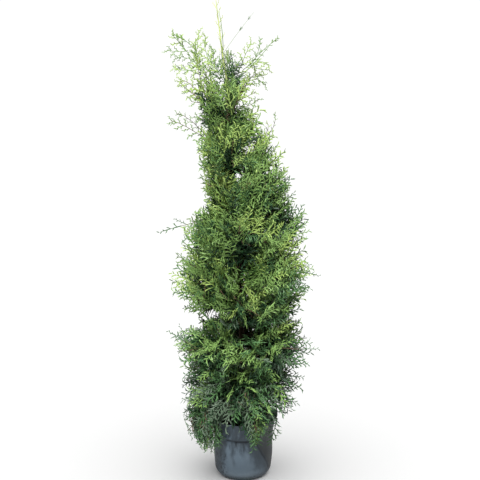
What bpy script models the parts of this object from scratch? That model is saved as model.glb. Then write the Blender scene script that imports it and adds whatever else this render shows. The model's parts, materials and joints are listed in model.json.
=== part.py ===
"""Potted thuja: a young hedging conifer in a soft-walled nursery pot.

Metres, +Z up, front towards -Y. The origin is the centre of the pot's flat underside.
Nodes: pot, soil, trunk, the boughs that carry the lower foliage, and the masses of foliage.
Every mass is one solid: a stem, twigs that leave it by a golden-angle rule, toothed sprays on the
twigs and a small core, kept inside a space of its own.
"""

import math
import random
from collections import namedtuple

import bmesh
import bpy
from mathutils import Matrix, Vector
from mathutils.bvhtree import BVHTree

GAP = 0.0003  # clearance between pieces that touch on the real plant
GOLDEN = math.radians(137.5)

# ---- pot and soil
POT_SEGMENTS = 24
POT_FOOT_RADIUS = 0.078
POT_CORNER = 0.035
POT_WALL = 0.0022
POT_HEIGHT = 0.242
POT_SIDE = ((0.118, 0.090), (0.1165, 0.150), (0.122, 0.200), (0.131, 0.232), (0.135, POT_HEIGHT))
POT_FOLDS = ((0.0016, 3, 0.5), (0.0010, 5, 2.0))  # depth, number round the wall and turn of each
RIM_FLARE = 0.0030
SOIL_TOP = 0.206
SOIL_COLLAR = 0.032  # level ground round the foot of the trunk

# ---- trunk
TRUNK_TOP = 1.854
TRUNK_SIDES = 8
TRUNK_RINGS = 15
TRUNK_FOOT_RADIUS = 0.014
TRUNK_TIP_RADIUS = 0.0013
TRUNK_TAPER = 0.9
TRUNK_LOBE = 0.05  # how far it is out of round
FLARE = 0.007
FLARE_HEIGHT = 0.022
FOOT_RINGS = (0.0, 0.014, 0.040, 0.090)  # heights of the close rings over the root flare
# height, x, y of the trunk's axis
TRUNK_LINE = (
    (0.205, 0.000, 0.000),
    (0.500, -0.004, 0.004),
    (0.800, -0.014, 0.000),
    (1.100, -0.036, -0.006),
    (1.374, -0.058, -0.002),
    (1.542, -0.061, 0.003),
    (1.672, -0.080, 0.000),
    (TRUNK_TOP, -0.102, -0.002),
)

# ---- crown
# height, how far the foliage reaches in x to the left and to the right
OUTLINE = (
    (0.090, -0.165, 0.135),
    (0.170, -0.205, 0.150),
    (0.280, -0.252, 0.228),
    (0.390, -0.250, 0.226),
    (0.440, -0.248, 0.212),
    (0.507, -0.262, 0.285),
    (0.560, -0.288, 0.250),
    (0.650, -0.250, 0.248),
    (0.726, -0.265, 0.245),
    (0.810, -0.285, 0.292),
    (0.890, -0.240, 0.240),
    (1.050, -0.220, 0.250),
    (1.120, -0.160, 0.195),
    (1.250, -0.160, 0.170),
    (1.340, -0.180, 0.130),
    (1.400, -0.215, 0.045),
    (1.470, -0.195, 0.022),
    (1.530, -0.235, 0.085),
    (1.640, -0.275, 0.130),
    (1.730, -0.272, 0.140),
    (1.800, -0.160, 0.045),
    (1.870, -0.120, -0.060),
)
# A tier of masses: the height of their middle, how many, the degrees between them, the azimuth of the
# first (0 right, 90 back), the rise of their stems, the share of the reach at which they start, their
# half height, and whether boughs or the trunk itself carry them
Tier = namedtuple("Tier", "number height masses spacing first rise start half_height on_bough")
TIERS = (
    Tier(11, 1.635, 4, 90, 0, 46, 0.10, 0.115, False),
    Tier(10, 1.468, 3, 120, 60, 42, 0.12, 0.128, False),
    Tier(9, 1.305, 3, 120, 30, 38, 0.14, 0.130, False),
    Tier(8, 1.155, 3, 120, -30, 34, 0.20, 0.128, True),
    Tier(7, 1.005, 3, 120, 28, 28, 0.23, 0.130, True),
    Tier(6, 0.852, 3, 120, -26, 22, 0.23, 0.130, True),
    Tier(5, 0.700, 4, 90, 12, 14, 0.25, 0.125, True),
    Tier(4, 0.548, 3, 120, -32, 4, 0.25, 0.130, True),
    Tier(3, 0.392, 4, 90, 8, -10, 0.28, 0.118, True),
    Tier(2, 0.262, 3, 90, 105, -42, 0.52, 0.108, True),
)
LEADER_TIER = Tier(12, 1.785, 1, 90, 8, 58, 0.16, 0.090, False)
LEADER_REACH = 0.13
LEADER_WIDTH = 0.6
WIDTH_SHARES = {120: 0.86, 90: 0.72}  # half width of a mass over its reach, by the angle it fills
LEAST_HALF_WIDTH = 0.085
SPACE_STRETCH = 1.30  # how far past its ellipsoid a mass may go where the crown leaves it room
TIER_SAMPLES = (-0.05, 0.0, 0.05)  # heights, from its middle, at which a tier's reach is read
AZIMUTH_SWAY = 7
RISE_SWAY = 4
HEIGHT_SWAY = 0.010
REACH_SWAY = (0.96, 1.02)
SKIRT_DROP = 0.036  # how much lower the bottom tier hangs on the left than on the right
SKIRT_RISE = -25  # stems steeper down than this belong to the skirt
STEM_SHARES = (-0.92, 0.40)  # ends of a stem, in half lengths of its mass from the middle
MASS_MARGIN = 0.0016  # kept to the plane between neighbouring masses
LIMB_MARGIN = 0.0016  # kept to a trunk or bough
POT_MARGIN = 0.004

# ---- boughs
BOUGH_SIDES = 5
BOUGH_RINGS = 4
BOUGH_BASE_RADIUS = 0.0058
BOUGH_TIP_RADIUS = 0.0036
BOUGH_DROP = 0.75  # how much lower than its mass a bough leaves the trunk, over its reach
BOUGH_FOOT = 0.022  # the lowest leave the trunk this high above the soil
BOUGH_BEND = 0.45
FULL_SIZE_TIER = 3  # boughs grow thinner above it
THINNER_BY_TIER = 0.05

# ---- masses
STEM_SIDES = 4
STEM_TIP_RADIUS = 0.0016
STEM_MIDDLE = 0.45
STEM_RADII = (0.0013, 0.0030)  # thinnest and thickest where the trunk itself carries the stem
STEM_ON_TRUNK = 0.58  # radius of such a stem over the trunk's
STEM_RISES = (0.75, 0.24)  # rise over reach of the first stem of a tier, and how much more the next has
STEM_INSIDE = 0.02  # how far inside its mass a stem without a bough bends towards the trunk
FIRST_TWIG = {True: 0.14, False: 0.20}  # share of the stem, on a bough and on the trunk
CORE_SHARE = 0.57
CORE_SPRAYS = 8
CORE_TOP_TIER = 10  # the crown is open above it
CORE_LUMP = 0.16
CORE_SIDES = 6
CORE_RINGS = ((-0.62, 0.78), (0.0, 1.0), (0.62, 0.78))
CORE_SIZES = (1.0, 0.9, 0.8, 0.68, 0.55)
CORE_GAP = 0.004  # kept to the plane between neighbouring masses
CORE_TOP_LIFT = 0.94  # sprays cover the core from here, outwards, ...
CORE_LIFT_RANGE = 1.45  # ... down to this much nearer to the trunk
CORE_SET_BACK = 0.08  # its middle, towards the trunk, in half lengths of the mass
CORE_AIM = (0.62, 0.75)  # how far its sprays point straight out of it, and along the stem
ROOT_DEPTH = 0.010
TWIGS = 2
OPEN_TWIGS = 5
SPRAY_PLACES = ((1, 0.62), (-1, 0.36))  # side of the twig and share of its length
TWIG_RADIUS = 0.0020
TWIG_TIP_RADIUS = 0.0011
TWIG_LENGTH = 0.060
TWIG_ANGLE = math.radians(56)
SPRAY_LENGTH = 0.132
SPRAY_ANGLE = math.radians(44)
SPRAY_CUP = 0.050
SPRAY_THICKNESS = 0.030
SPRAY_OUTLINE = (
    (-0.11, 0.0),
    (0.34, 0.29),
    (0.50, 0.12),
    (0.72, 0.22),
    (1.00, 0.0),
    (0.74, -0.20),
    (0.52, -0.11),
    (0.36, -0.30),
)
SPRAY_HEART = 0.42
SPRAY_FACING = (0.8, 0.5, 0.6)  # how far its face turns out with the mass, out at its own place, and up
SPRAY_SINK = 0.004  # how far its root is sunk in a twig
SPRAY_TRIES = 6
SPRAY_SWAY = 0.22
SPRAY_TWIST = 0.7
UPRIGHT_SHARE = 0.5
SPRAY_SIZES = (1.0, 0.86, 0.73, 0.62, 0.52)
TWIG_SIZES = (1.0, 0.75, 0.55, 0.38)
TWIG_ROOM = 0.92  # a twig keeps this much further inside than a spray
# masses with a long shoot that stands out past the crown's outline, and where its tip is
LONE_SHOOTS = {
    "04_left_front": (-0.295, -0.050, 0.600),
    "04_right_front": (0.300, -0.050, 0.525),
    "06_right_front": (0.300, -0.030, 0.812),
    "07_left_back": (-0.335, 0.060, 1.005),
    "09_right_back": (0.125, 0.030, 1.440),
    "10_left": (-0.286, 0.000, 1.395),
    "11_right": (0.141, 0.000, 1.720),
}
LONE_STARTS = (0.95, 0.70, 0.45)  # where on the stem it may leave, the first that fits
LONE_TWIG = 0.48  # how much of it is bare twig
LONE_STRETCH = 2.6
WISP = 1.08  # the last spray of a stem may pass the crown's outline by this factor

SEED = 4107

# ---- colours
BARK = (0.130, 0.078, 0.045)
BOUGH_BARK = (0.150, 0.085, 0.045)
POT_PLASTIC = (0.058, 0.075, 0.090)
COMPOST = (0.030, 0.020, 0.014)
OLD_GREEN = (0.045, 0.105, 0.055)
YOUNG_GREEN = (0.215, 0.330, 0.085)

SIDE_NAMES = ("right", "right_back", "back", "left_back", "left", "left_front", "front", "right_front")


# ------------------------------------------------------------------ scene and materials


def clear_scene():
    for obj in list(bpy.data.objects):
        bpy.data.objects.remove(obj, do_unlink=True)


def make_material(name, colour, roughness, metallic=0.0):
    material = bpy.data.materials.new(name)
    material.use_nodes = True
    shader = material.node_tree.nodes["Principled BSDF"]
    shader.inputs["Base Color"].default_value = (*colour, 1.0)
    shader.inputs["Roughness"].default_value = roughness
    shader.inputs["Metallic"].default_value = metallic
    material.diffuse_color = (*colour, 1.0)
    return material


def object_from(name, bm, material=None, smooth=False):
    """One object from a bmesh, with its faces pointing out."""
    bmesh.ops.recalc_face_normals(bm, faces=bm.faces)
    mesh = bpy.data.meshes.new(name)
    bm.to_mesh(mesh)
    bm.free()
    if smooth:
        mesh.shade_smooth()
        mesh.set_sharp_from_angle(angle=math.radians(40))
    obj = bpy.data.objects.new(name, mesh)
    bpy.context.scene.collection.objects.link(obj)
    if material:
        mesh.materials.append(material)
    return obj


# ------------------------------------------------------------------ interpolation


def smooth_line(points, at):
    """Catmull-Rom through rows of (key, values...), read at one key."""
    keys = [row[0] for row in points]
    at = min(max(at, keys[0]), keys[-1])
    i = max(j for j in range(len(points) - 1) if keys[j] <= at)
    before = points[max(i - 1, 0)]
    start, end = points[i], points[i + 1]
    after = points[min(i + 2, len(points) - 1)]
    span = end[0] - start[0]
    t = (at - start[0]) / span
    result = []
    for axis in range(1, len(start)):
        slope_in = (end[axis] - before[axis]) / (end[0] - before[0]) * span
        slope_out = (after[axis] - start[axis]) / (after[0] - start[0]) * span
        result.append(
            (2 * t**3 - 3 * t**2 + 1) * start[axis]
            + (t**3 - 2 * t**2 + t) * slope_in
            + (3 * t**2 - 2 * t**3) * end[axis]
            + (t**3 - t**2) * slope_out
        )
    return result


def trunk_axis(height):
    x, y = smooth_line(TRUNK_LINE, height)
    return Vector((x, y, height))


def trunk_radius(height):
    foot = TRUNK_LINE[0][0]
    share = min(max((height - foot) / (TRUNK_TOP - foot), 0.0), 1.0)
    taper = (TRUNK_FOOT_RADIUS - TRUNK_TIP_RADIUS) * (1 - share) ** TRUNK_TAPER
    return TRUNK_TIP_RADIUS + taper + FLARE * math.exp(-(height - foot) / FLARE_HEIGHT)


# ------------------------------------------------------------------ turned and swept bodies


def frame_along(direction, up=Vector((0, 0, 1))):
    """Two unit vectors across a direction."""
    across = direction.cross(up)
    if across.length < 1e-4:
        across = direction.cross(Vector((0, 1, 0)))
    across.normalize()
    return across, across.cross(direction).normalized()


def tube(bm, points, radii, sides, turn=0.0, lobe=0.0):
    """A closed tapering limb through the points, with flat ends."""
    rings = []
    for i, (point, radius) in enumerate(zip(points, radii)):
        before = points[max(i - 1, 0)]
        after = points[min(i + 1, len(points) - 1)]
        across, over = frame_along((after - before).normalized())
        ring = []
        for k in range(sides):
            angle = turn + 2 * math.pi * k / sides
            swell = 1 + lobe * math.cos(3 * angle + 0.6 * i)
            offset = (across * math.cos(angle) + over * math.sin(angle)) * radius * swell
            ring.append(bm.verts.new(point + offset))
        rings.append(ring)
    for low, high in zip(rings, rings[1:]):
        for k in range(sides):
            n = (k + 1) % sides
            bm.faces.new((low[k], low[n], high[k]))
            bm.faces.new((low[n], high[n], high[k]))
    bm.faces.new(rings[0])
    bm.faces.new(rings[-1])


def revolve(bm, profile, segments, bulge):
    """A closed body from a profile whose first and last points lie on the axis. The diagonals lean
    the same way on inner and outer faces, so that nested bodies keep their clearance."""
    first = bm.verts.new((0, 0, profile[0][1]))
    last = bm.verts.new((0, 0, profile[-1][1]))
    rings = []
    for radius, height in profile[1:-1]:
        ring = []
        for k in range(segments):
            angle = 2 * math.pi * k / segments
            r = radius + bulge(height, angle)
            ring.append(bm.verts.new((r * math.cos(angle), r * math.sin(angle), height)))
        rings.append(ring)
    for k in range(segments):
        n = (k + 1) % segments
        bm.faces.new((first, rings[0][n], rings[0][k]))
        bm.faces.new((last, rings[-1][k], rings[-1][n]))
        for ring, other in zip(rings, rings[1:]):
            low, high = (ring, other) if ring[0].co.z <= other[0].co.z else (other, ring)
            bm.faces.new((low[k], low[n], high[k]))
            bm.faces.new((low[n], high[n], high[k]))


# ------------------------------------------------------------------ pot and soil


def pot_bulge(height, angle):
    """The soft wall's shallow folds: none at the foot, most at mid height, a flare at the right rim."""
    share = min(max((height - POT_CORNER) / (POT_HEIGHT - POT_CORNER), 0.0), 1.0)
    belly = math.sin(math.pi * share)
    folds = sum(depth * math.cos(number * angle + turn) for depth, number, turn in POT_FOLDS)
    flare = RIM_FLARE * share**3 * math.cos(angle)
    return belly * folds + flare


def pot_outline():
    """Outer profile from the edge of the flat underside up to the rim."""
    points = []
    for step in range(3):
        angle = math.radians(45 * step)
        radius = POT_FOOT_RADIUS + POT_CORNER * math.sin(angle)
        points.append((radius, POT_CORNER * (1 - math.cos(angle))))
    return points + list(POT_SIDE)


def inset_outline(points, distance):
    """The profile moved inwards, square to itself."""
    moved = []
    for i, (radius, height) in enumerate(points):
        before = points[i - 1] if i else (radius - 1.0, height)
        after = points[min(i + 1, len(points) - 1)]
        dr, dz = after[0] - before[0], after[1] - before[1]
        if i == 0:
            dr, dz = dr, 0.35 * abs(dr)
        length = math.hypot(dr, dz)
        moved.append((radius - distance * dz / length, height + distance * dr / length))
    moved[0] = (points[0][0], distance)
    return moved


def make_pot(material):
    outer = pot_outline()
    inner = inset_outline(outer, POT_WALL)
    inner[-1] = (outer[-1][0] - POT_WALL, POT_HEIGHT)
    profile = [(0, 0)] + outer + inner[::-1] + [(0, POT_WALL)]
    bm = bmesh.new()
    revolve(bm, profile, POT_SEGMENTS, pot_bulge)
    return object_from("pot", bm, material, smooth=True)


def make_soil(material):
    side = [point for point in inset_outline(pot_outline(), POT_WALL + GAP) if point[1] < SOIL_TOP]
    edge_radius, edge_height = side[-1]
    profile = [(0, POT_WALL + GAP)] + side
    shoulder = 0.45 * edge_radius + 0.55 * SOIL_COLLAR
    profile.append((shoulder, SOIL_TOP - 0.2 * (SOIL_TOP - edge_height)))
    profile.append((SOIL_COLLAR, SOIL_TOP))
    profile.append((0, SOIL_TOP))
    bm = bmesh.new()
    revolve(bm, profile, POT_SEGMENTS, pot_bulge)
    return object_from("soil", bm, material, smooth=True)


# ------------------------------------------------------------------ trunk


def trunk_points(grow=0.0):
    foot = SOIL_TOP + GAP
    heights = [foot + height for height in FOOT_RINGS]
    steps = TRUNK_RINGS - len(FOOT_RINGS)
    for step in range(1, steps + 1):
        heights.append(heights[len(FOOT_RINGS) - 1] + (TRUNK_TOP - foot - FOOT_RINGS[-1]) * step / steps)
    points = [trunk_axis(height) for height in heights]
    return points, [trunk_radius(height) + grow for height in heights]


def make_trunk(material):
    """From a level cut on the soil to the leader's tip."""
    points, radii = trunk_points()
    bm = bmesh.new()
    tube(bm, points, radii, TRUNK_SIDES, lobe=TRUNK_LOBE)
    for vertex in bm.verts:
        if vertex.co.z < SOIL_TOP + 0.006:
            vertex.co.z = SOIL_TOP + GAP
    return object_from("trunk", bm, material, smooth=True)


# ------------------------------------------------------------------ plan of the crown


def crown_reach(height, azimuth):
    """How far from the trunk the foliage reaches at a height, in one direction."""
    left, right = smooth_line(OUTLINE, height)
    axis = trunk_axis(height)
    to_right, to_left = right - axis.x, axis.x - left
    return (to_right + to_left) / 2 + (to_right - to_left) / 2 * math.cos(azimuth)


def crown_level(point):
    """1 on the crown's outline, less inside."""
    axis = trunk_axis(point.z)
    away = math.hypot(point.x - axis.x, point.y - axis.y)
    return away / max(crown_reach(point.z, math.atan2(point.y - axis.y, point.x - axis.x)), 0.012)


class Mass:
    """One mass of foliage: its space, a tilted ellipsoid, and the line of its stem."""

    def __init__(self, tier, index, azimuth, reach, rng):
        self.tier = tier.number
        self.index = index
        self.azimuth = azimuth
        self.on_bough = tier.on_bough
        self.rng = rng
        rise = math.radians(tier.rise + rng.uniform(-RISE_SWAY, RISE_SWAY))
        height = tier.height + rng.uniform(-HEIGHT_SWAY, HEIGHT_SWAY)
        if rise < math.radians(SKIRT_RISE):
            height += SKIRT_DROP * math.cos(azimuth)
        half_reach = (1 - tier.start) / 2 * reach
        half_width = max(WIDTH_SHARES[tier.spacing] * reach, LEAST_HALF_WIDTH)
        self.half = Vector((half_reach, half_width, tier.half_height))
        self.out = Vector((math.cos(azimuth), math.sin(azimuth), 0))
        self.across = Vector((-math.sin(azimuth), math.cos(azimuth), 0))
        self.up = Vector((0, 0, 1))
        self.centre = trunk_axis(height) + self.out * (tier.start * reach + half_reach)
        self.planes = []
        side = SIDE_NAMES[round(math.degrees(azimuth) / 45) % 8]
        self.label = f"{tier.number:02d}_{side}"
        self.along = (self.out * math.cos(rise) + self.up * math.sin(rise)).normalized()
        length = half_reach / math.cos(rise)
        self.stem_start = self.centre + self.along * length * STEM_SHARES[0]
        self.stem_end = self.centre + self.along * length * STEM_SHARES[1]

    def local(self, point):
        d = point - self.centre
        return Vector((d.dot(self.out), d.dot(self.across), d.dot(self.up)))

    def level(self, point):
        """1 on the outline of the space, less inside."""
        p = self.local(point)
        return math.sqrt(sum((p[i] / self.half[i]) ** 2 for i in range(3)))

    def holds(self, points, stretch=1.0):
        for point in points:
            if self.level(point) > SPACE_STRETCH * stretch or crown_level(point) > stretch:
                return False
            for normal, offset in self.planes:
                if normal.dot(point) > offset - MASS_MARGIN:
                    return False
        return True


def plan_masses():
    masses = []
    for tier in TIERS:
        for k in range(tier.masses):
            rng = random.Random(SEED + 100 * tier.number + k)
            sway = rng.uniform(-AZIMUTH_SWAY, AZIMUTH_SWAY)
            azimuth = math.radians(tier.first + tier.spacing * k + sway)
            heights = [tier.height + step for step in TIER_SAMPLES]
            reach = sum(crown_reach(height, azimuth) for height in heights) / len(heights)
            masses.append(Mass(tier, k, azimuth, reach * rng.uniform(*REACH_SWAY), rng))
    masses.append(leader_mass())
    for i, first in enumerate(masses):
        for second in masses[i + 1 :]:
            part_spaces(first, second)
    return masses


def leader_mass():
    """The short shoots round the leader, above the top tier."""
    azimuth = math.radians(LEADER_TIER.first)
    mass = Mass(LEADER_TIER, 0, azimuth, LEADER_REACH, random.Random(SEED + 7))
    mass.half.y = LEADER_WIDTH * LEADER_REACH
    mass.label = f"{LEADER_TIER.number:02d}_leader"
    return mass


def part_spaces(first, second):
    """A plane between two masses, nearer to the smaller one."""
    line = second.centre - first.centre
    normal = line.normalized()
    sizes = []
    for mass in (first, second):
        sizes.append(
            math.sqrt(
                (mass.half[0] * normal.dot(mass.out)) ** 2
                + (mass.half[1] * normal.dot(mass.across)) ** 2
                + (mass.half[2] * normal.dot(mass.up)) ** 2
            )
        )
    if sum(sizes) * WISP < line.length:
        share = 0.5
    else:
        share = sizes[0] / sum(sizes)
    middle = first.centre + line * share
    first.planes.append((normal, normal.dot(middle)))
    second.planes.append((-normal, -normal.dot(middle)))


# ------------------------------------------------------------------ boughs


def bough_line(mass):
    """From inside the trunk to the start of the mass's stem, curving into its direction."""
    end = mass.stem_start - mass.along * GAP
    out = end - trunk_axis(end.z)
    drop = BOUGH_DROP * math.hypot(out.x, out.y)
    start_height = max(end.z - drop, SOIL_TOP + BOUGH_FOOT)
    start = trunk_axis(start_height)
    lean = (end - start).length
    bend = end - mass.along * BOUGH_BEND * lean
    points = []
    for step in range(BOUGH_RINGS):
        t = step / (BOUGH_RINGS - 1)
        points.append((1 - t) ** 2 * start + 2 * t * (1 - t) * bend + t**2 * end)
    # the last ring lies square to the stem that goes on from it
    points[-2] = end - mass.along * (end - points[-2]).length
    return points


def limb_size(mass):
    """How thick a mass's bough and stem are, against the lowest ones."""
    return 1.0 - THINNER_BY_TIER * max(mass.tier - FULL_SIZE_TIER, 0)


def bough_radii(mass, grow=0.0):
    size = limb_size(mass)
    radii = []
    for step in range(BOUGH_RINGS):
        t = step / (BOUGH_RINGS - 1)
        radii.append(size * (BOUGH_BASE_RADIUS + t * (BOUGH_TIP_RADIUS - BOUGH_BASE_RADIUS)) + grow)
    return radii


def make_bough(mass, trunk_cutter, material):
    bm = bmesh.new()
    tube(bm, bough_line(mass), bough_radii(mass), BOUGH_SIDES, turn=mass.azimuth)
    bough = object_from("bough_" + mass.label, bm, material)
    cut_by(bough, trunk_cutter)
    keep_largest(bough)
    bough.data.shade_smooth()
    bough.data.set_sharp_from_angle(angle=math.radians(50))
    return bough


# ------------------------------------------------------------------ Booleans


def apply_modifiers(obj):
    graph = bpy.context.evaluated_depsgraph_get()
    mesh = bpy.data.meshes.new_from_object(obj.evaluated_get(graph))
    old = obj.data
    obj.modifiers.clear()
    obj.data = mesh
    bpy.data.meshes.remove(old)


def cut_by(obj, cutter):
    modifier = obj.modifiers.new("cut", "BOOLEAN")
    modifier.operation = "DIFFERENCE"
    modifier.solver = "EXACT"
    modifier.object = cutter
    apply_modifiers(obj)


def fuse(obj, pieces):
    """One union of the object with a collection of pieces, which are removed afterwards."""
    group = bpy.data.collections.new(obj.name + "_pieces")
    bpy.context.scene.collection.children.link(group)
    for piece in pieces:
        bpy.context.scene.collection.objects.unlink(piece)
        group.objects.link(piece)
    modifier = obj.modifiers.new("fuse", "BOOLEAN")
    modifier.operation = "UNION"
    modifier.solver = "EXACT"
    modifier.operand_type = "COLLECTION"
    modifier.collection = group
    modifier.use_self = False
    apply_modifiers(obj)
    for piece in pieces:
        mesh = piece.data
        bpy.data.objects.remove(piece, do_unlink=True)
        bpy.data.meshes.remove(mesh)
    bpy.data.collections.remove(group)


def keep_largest(obj):
    """Drops every loose scrap but the largest body."""
    bm = bmesh.new()
    bm.from_mesh(obj.data)
    unseen = set(bm.faces)
    islands = []
    while unseen:
        front = [unseen.pop()]
        island = list(front)
        while front:
            face = front.pop()
            for edge in face.edges:
                for other in edge.link_faces if len(edge.link_faces) == 2 else ():
                    if other in unseen:
                        unseen.remove(other)
                        front.append(other)
                        island.append(other)
        islands.append(island)
    islands.sort(key=len, reverse=True)
    scraps = [face for island in islands[1:] for face in island]
    if scraps:
        bmesh.ops.delete(bm, geom=scraps, context="FACES")
    bm.to_mesh(obj.data)
    bm.free()


# ------------------------------------------------------------------ sprays, twigs and cores


def spray_body(root, direction, normal, length, rng):
    """Points and faces of one toothed, slightly cupped blade. It starts a little behind its root."""
    side = normal.cross(direction).normalized()
    normal = direction.cross(side).normalized()
    points = []
    for u, v in SPRAY_OUTLINE:
        u = u + rng.uniform(-0.03, 0.03) if 0 < u < 1 else u
        v = v * rng.uniform(0.85, 1.12)
        points.append(root + direction * u * length + side * v * length)
    heart = root + direction * SPRAY_HEART * length
    points.append(heart + normal * (SPRAY_CUP + SPRAY_THICKNESS / 2) * length)
    points.append(heart + normal * (SPRAY_CUP - SPRAY_THICKNESS / 2) * length)
    count = len(SPRAY_OUTLINE)
    faces = []
    for k in range(count):
        n = (k + 1) % count
        faces.append((k, n, count))
        faces.append((n, k, count + 1))
    return points, faces


def twig_body(start, end, start_radius, end_radius):
    """A three-sided tapering twig."""
    across, over = frame_along((end - start).normalized())
    points = []
    for centre, radius in ((start, start_radius), (end, end_radius)):
        for k in range(3):
            angle = 2 * math.pi * k / 3
            points.append(centre + (across * math.cos(angle) + over * math.sin(angle)) * radius)
    faces = [(0, 1, 2), (5, 4, 3)]
    for k in range(3):
        n = (k + 1) % 3
        faces.append((k, k + 3, n + 3, n))
    return points, faces


def body_object(points, faces):
    bm = bmesh.new()
    vertices = [bm.verts.new(point) for point in points]
    for face in faces:
        bm.faces.new([vertices[i] for i in face])
    return object_from("piece", bm)


def touches(tree, points, faces):
    return bool(tree.overlap(BVHTree.FromPolygons(points, faces)))


def core_body(mass, limbs):
    """A lumpy closed core in the middle of the mass, drawn in until it is clear of planes and limbs."""
    unit = [Vector((-1, 0, 0))]
    for ring, (place, width) in enumerate(CORE_RINGS):
        for k in range(CORE_SIDES):
            angle = 2 * math.pi * (k + 0.5 * ring) / CORE_SIDES
            unit.append(Vector((place, width * math.cos(angle), width * math.sin(angle))))
    unit.append(Vector((1, 0, 0)))
    last = len(unit) - 1
    faces = []
    for k in range(CORE_SIDES):
        n = (k + 1) % CORE_SIDES
        faces.append((0, 1 + n, 1 + k))
        for ring in range(len(CORE_RINGS) - 1):
            low = 1 + ring * CORE_SIDES
            high = low + CORE_SIDES
            faces.append((low + k, low + n, high + k))
            faces.append((low + n, high + n, high + k))
        faces.append((last, last - CORE_SIDES + k, last - CORE_SIDES + n))
    lumps = [1 + mass.rng.uniform(-CORE_LUMP, CORE_LUMP) for _ in unit]
    middle = mass.centre - mass.out * CORE_SET_BACK * mass.half[0]
    for size in CORE_SIZES:
        points = []
        for direction, lump in zip(unit, lumps):
            offset = (
                mass.out * direction.x * mass.half[0]
                + mass.across * direction.y * mass.half[1]
                + mass.up * direction.z * mass.half[2]
            ) * (CORE_SHARE * size * lump)
            for normal, limit in mass.planes:
                ahead = normal.dot(offset)
                room = limit - CORE_GAP - normal.dot(middle)
                if ahead > room:
                    offset = offset * max(room / ahead, 0.05)
            points.append(middle + offset)
        if not touches(limbs, points, faces):
            return points, faces
    return None


def turned(vector, axis, angle):
    return Matrix.Rotation(angle, 3, axis) @ vector


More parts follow.
